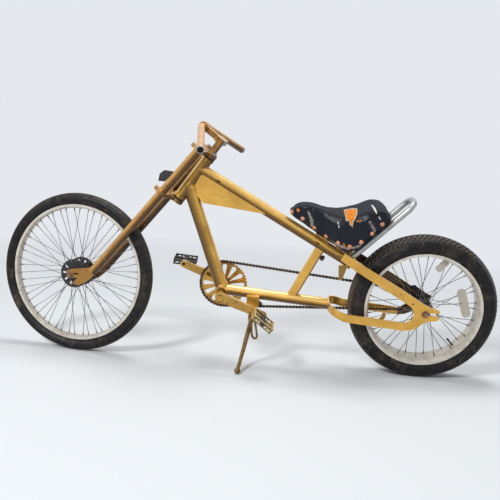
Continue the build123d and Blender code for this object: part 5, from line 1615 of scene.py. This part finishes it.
class ChopperSizes(bpy.types.PropertyGroup):
    """Sizes of the dressed pieces"""

    front_blocks: IntProperty(
        name="Front blocks", description="Tread blocks round the front tyre", default=196, min=40
    )
    front_depth: FloatProperty(
        name="Front tread", description="Depth of the front tread in millimetres", default=2.2, min=0.0
    )
    rear_grooves: IntProperty(
        name="Rear grooves", description="Slanted grooves round the rear tyre", default=88, min=20
    )
    rear_depth: FloatProperty(
        name="Rear tread", description="Depth of the rear tread in millimetres", default=3.6, min=0.0
    )
    chain_links: IntProperty(
        name="Chain links", description="Links in the chain's loop, an even number", default=148, min=80
    )
    spoke_lead: FloatProperty(
        name="Spoke lead", description="Turn between a spoke's ends, in degrees", default=15.0
    )
    stud_radius: FloatProperty(
        name="Stud radius", description="Radius of a saddle stud in millimetres", default=8.4, min=1.0
    )
    pressure: FloatProperty(
        name="Pressure", description="Pressure that blows up the saddle's skin", default=4.0, min=0.0
    )
    skin_step: FloatProperty(
        name="Skin step", description="Mesh size of the saddle's skin", default=0.0045, unit="LENGTH"
    )
    draw_in: FloatProperty(
        name="Draw in", description="How far the skin starts inside", default=0.003, unit="LENGTH"
    )
    swell_cap: FloatProperty(
        name="Swell cap", description="Farthest move of the swelling skin", default=0.009, unit="LENGTH"
    )


class ChopperStudio(bpy.types.PropertyGroup):
    """Light and backdrop"""

    world_light: FloatProperty(
        name="Soft light", description="Strength of the even light all round", default=0.38, min=0.0
    )
    key_light: FloatProperty(
        name="Key", description="Power of the front lamp", default=215.0, min=0.0, unit="POWER"
    )
    top_light: FloatProperty(
        name="Top", description="Power of the upper lamp", default=76.0, min=0.0, unit="POWER"
    )
    floor: colour_property("Floor", "Colour of the floor", (0.80, 0.835, 0.865))
    backdrop: colour_property("Backdrop", "Colour behind the bicycle", (0.785, 0.815, 0.850))


class CHOPPER_OT_studio(bpy.types.Operator):
    """Set up floor, lamps, backdrop and camera"""

    bl_idname = "chopper.studio"
    bl_label = "Studio"

    def execute(self, context):
        build_studio(context.scene.chopper_studio)
        return {"FINISHED"}


class CHOPPER_OT_paint(bpy.types.Operator):
    """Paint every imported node"""

    bl_idname = "chopper.paint"
    bl_label = "Paint the packed pieces"

    def execute(self, context):
        paint_nodes()
        return {"FINISHED"}


class CHOPPER_OT_tyres(bpy.types.Operator):
    """Build both tyres with their treads"""

    bl_idname = "chopper.tyres"
    bl_label = "Tyres"

    def execute(self, context):
        build_tyres(context.scene.chopper_sizes)
        return {"FINISHED"}


class CHOPPER_OT_wheel_trim(bpy.types.Operator):
    """Build front spokes, nipples, valves and reflectors"""

    bl_idname = "chopper.wheel_trim"
    bl_label = "Wheel trim"

    def execute(self, context):
        build_wheel_trim(context.scene.chopper_sizes)
        return {"FINISHED"}


class CHOPPER_OT_chain(bpy.types.Operator):
    """Build the chain's plates, pins and rollers"""

    bl_idname = "chopper.chain"
    bl_label = "Chain"

    def execute(self, context):
        build_chain(context.scene.chopper_sizes)
        return {"FINISHED"}


class CHOPPER_OT_saddle(bpy.types.Operator):
    """Blow up the padded saddle and mark its worn places"""

    bl_idname = "chopper.saddle"
    bl_label = "Saddle"

    def execute(self, context):
        build_saddle(context.scene.chopper_sizes)
        return {"FINISHED"}


class CHOPPER_OT_studs(bpy.types.Operator):
    """Set the studs along the saddle's edges"""

    bl_idname = "chopper.studs"
    bl_label = "Saddle studs"

    def execute(self, context):
        build_studs(context.scene.chopper_sizes)
        return {"FINISHED"}


class CHOPPER_OT_welds(bpy.types.Operator):
    """Lay a bead round each joint of the frame"""

    bl_idname = "chopper.welds"
    bl_label = "Welds"

    def execute(self, context):
        build_welds()
        return {"FINISHED"}


class CHOPPER_OT_head_parts(bpy.types.Operator):
    """Build headset rings, steerer cap, clamp screws and the bar's ends"""

    bl_idname = "chopper.head_parts"
    bl_label = "Head parts"

    def execute(self, context):
        build_head_parts()
        build_bar_ends()
        return {"FINISHED"}


class CHOPPER_OT_fasteners(bpy.types.Operator):
    """Build axle cones and nuts, the crank's boss, bolts and leg nubs"""

    bl_idname = "chopper.fasteners"
    bl_label = "Fasteners"

    def execute(self, context):
        build_fasteners()
        return {"FINISHED"}


class CHOPPER_OT_pedals(bpy.types.Operator):
    """Build both pedals"""

    bl_idname = "chopper.pedals"
    bl_label = "Pedals"

    def execute(self, context):
        build_pedals()
        return {"FINISHED"}


class CHOPPER_OT_covers(bpy.types.Operator):
    """Cut the chain guard, the stand's hook and the reflector bracket"""

    bl_idname = "chopper.covers"
    bl_label = "Black covers"

    def execute(self, context):
        build_covers()
        return {"FINISHED"}


class CHOPPER_OT_stand_spring(bpy.types.Operator):
    """Bend the side stand's bar, wind its spring and bend its loop"""

    bl_idname = "chopper.stand_spring"
    bl_label = "Side stand"

    def execute(self, context):
        build_stand()
        build_stand_spring()
        return {"FINISHED"}


OPERATORS = (
    CHOPPER_OT_studio, CHOPPER_OT_paint, CHOPPER_OT_tyres, CHOPPER_OT_wheel_trim, CHOPPER_OT_chain,
    CHOPPER_OT_saddle, CHOPPER_OT_studs, CHOPPER_OT_welds, CHOPPER_OT_head_parts,
    CHOPPER_OT_fasteners, CHOPPER_OT_pedals, CHOPPER_OT_covers, CHOPPER_OT_stand_spring,
)
SETTINGS = (
    ("chopper_colours", ChopperColours),
    ("chopper_sizes", ChopperSizes),
    ("chopper_studio", ChopperStudio),
)


class CHOPPER_PT_pieces(bpy.types.Panel):
    """Lists the settings and the pieces"""

    bl_label = "Chopper bicycle"
    bl_space_type = "VIEW_3D"
    bl_region_type = "UI"
    bl_category = "Chopper"

    def draw(self, context):
        for name, group in SETTINGS:
            box = self.layout.box()
            for setting in group.__annotations__:
                box.prop(getattr(context.scene, name), setting)
        for operator in OPERATORS:
            self.layout.operator(operator.bl_idname)


def register():
    """Adds the settings, operators and panel."""
    for name, group in SETTINGS:
        bpy.utils.register_class(group)
        setattr(bpy.types.Scene, name, PointerProperty(type=group))
    for operator in OPERATORS:
        bpy.utils.register_class(operator)
    bpy.utils.register_class(CHOPPER_PT_pieces)


def unregister():
    """Takes them away again."""
    bpy.utils.unregister_class(CHOPPER_PT_pieces)
    for operator in reversed(OPERATORS):
        bpy.utils.unregister_class(operator)
    for name, group in reversed(SETTINGS):
        delattr(bpy.types.Scene, name)
        bpy.utils.unregister_class(group)


def main():
    register()
    for operator in OPERATORS:
        getattr(bpy.ops.chopper, operator.bl_idname.split(".")[1])()


if __name__ == "__main__":
    main()
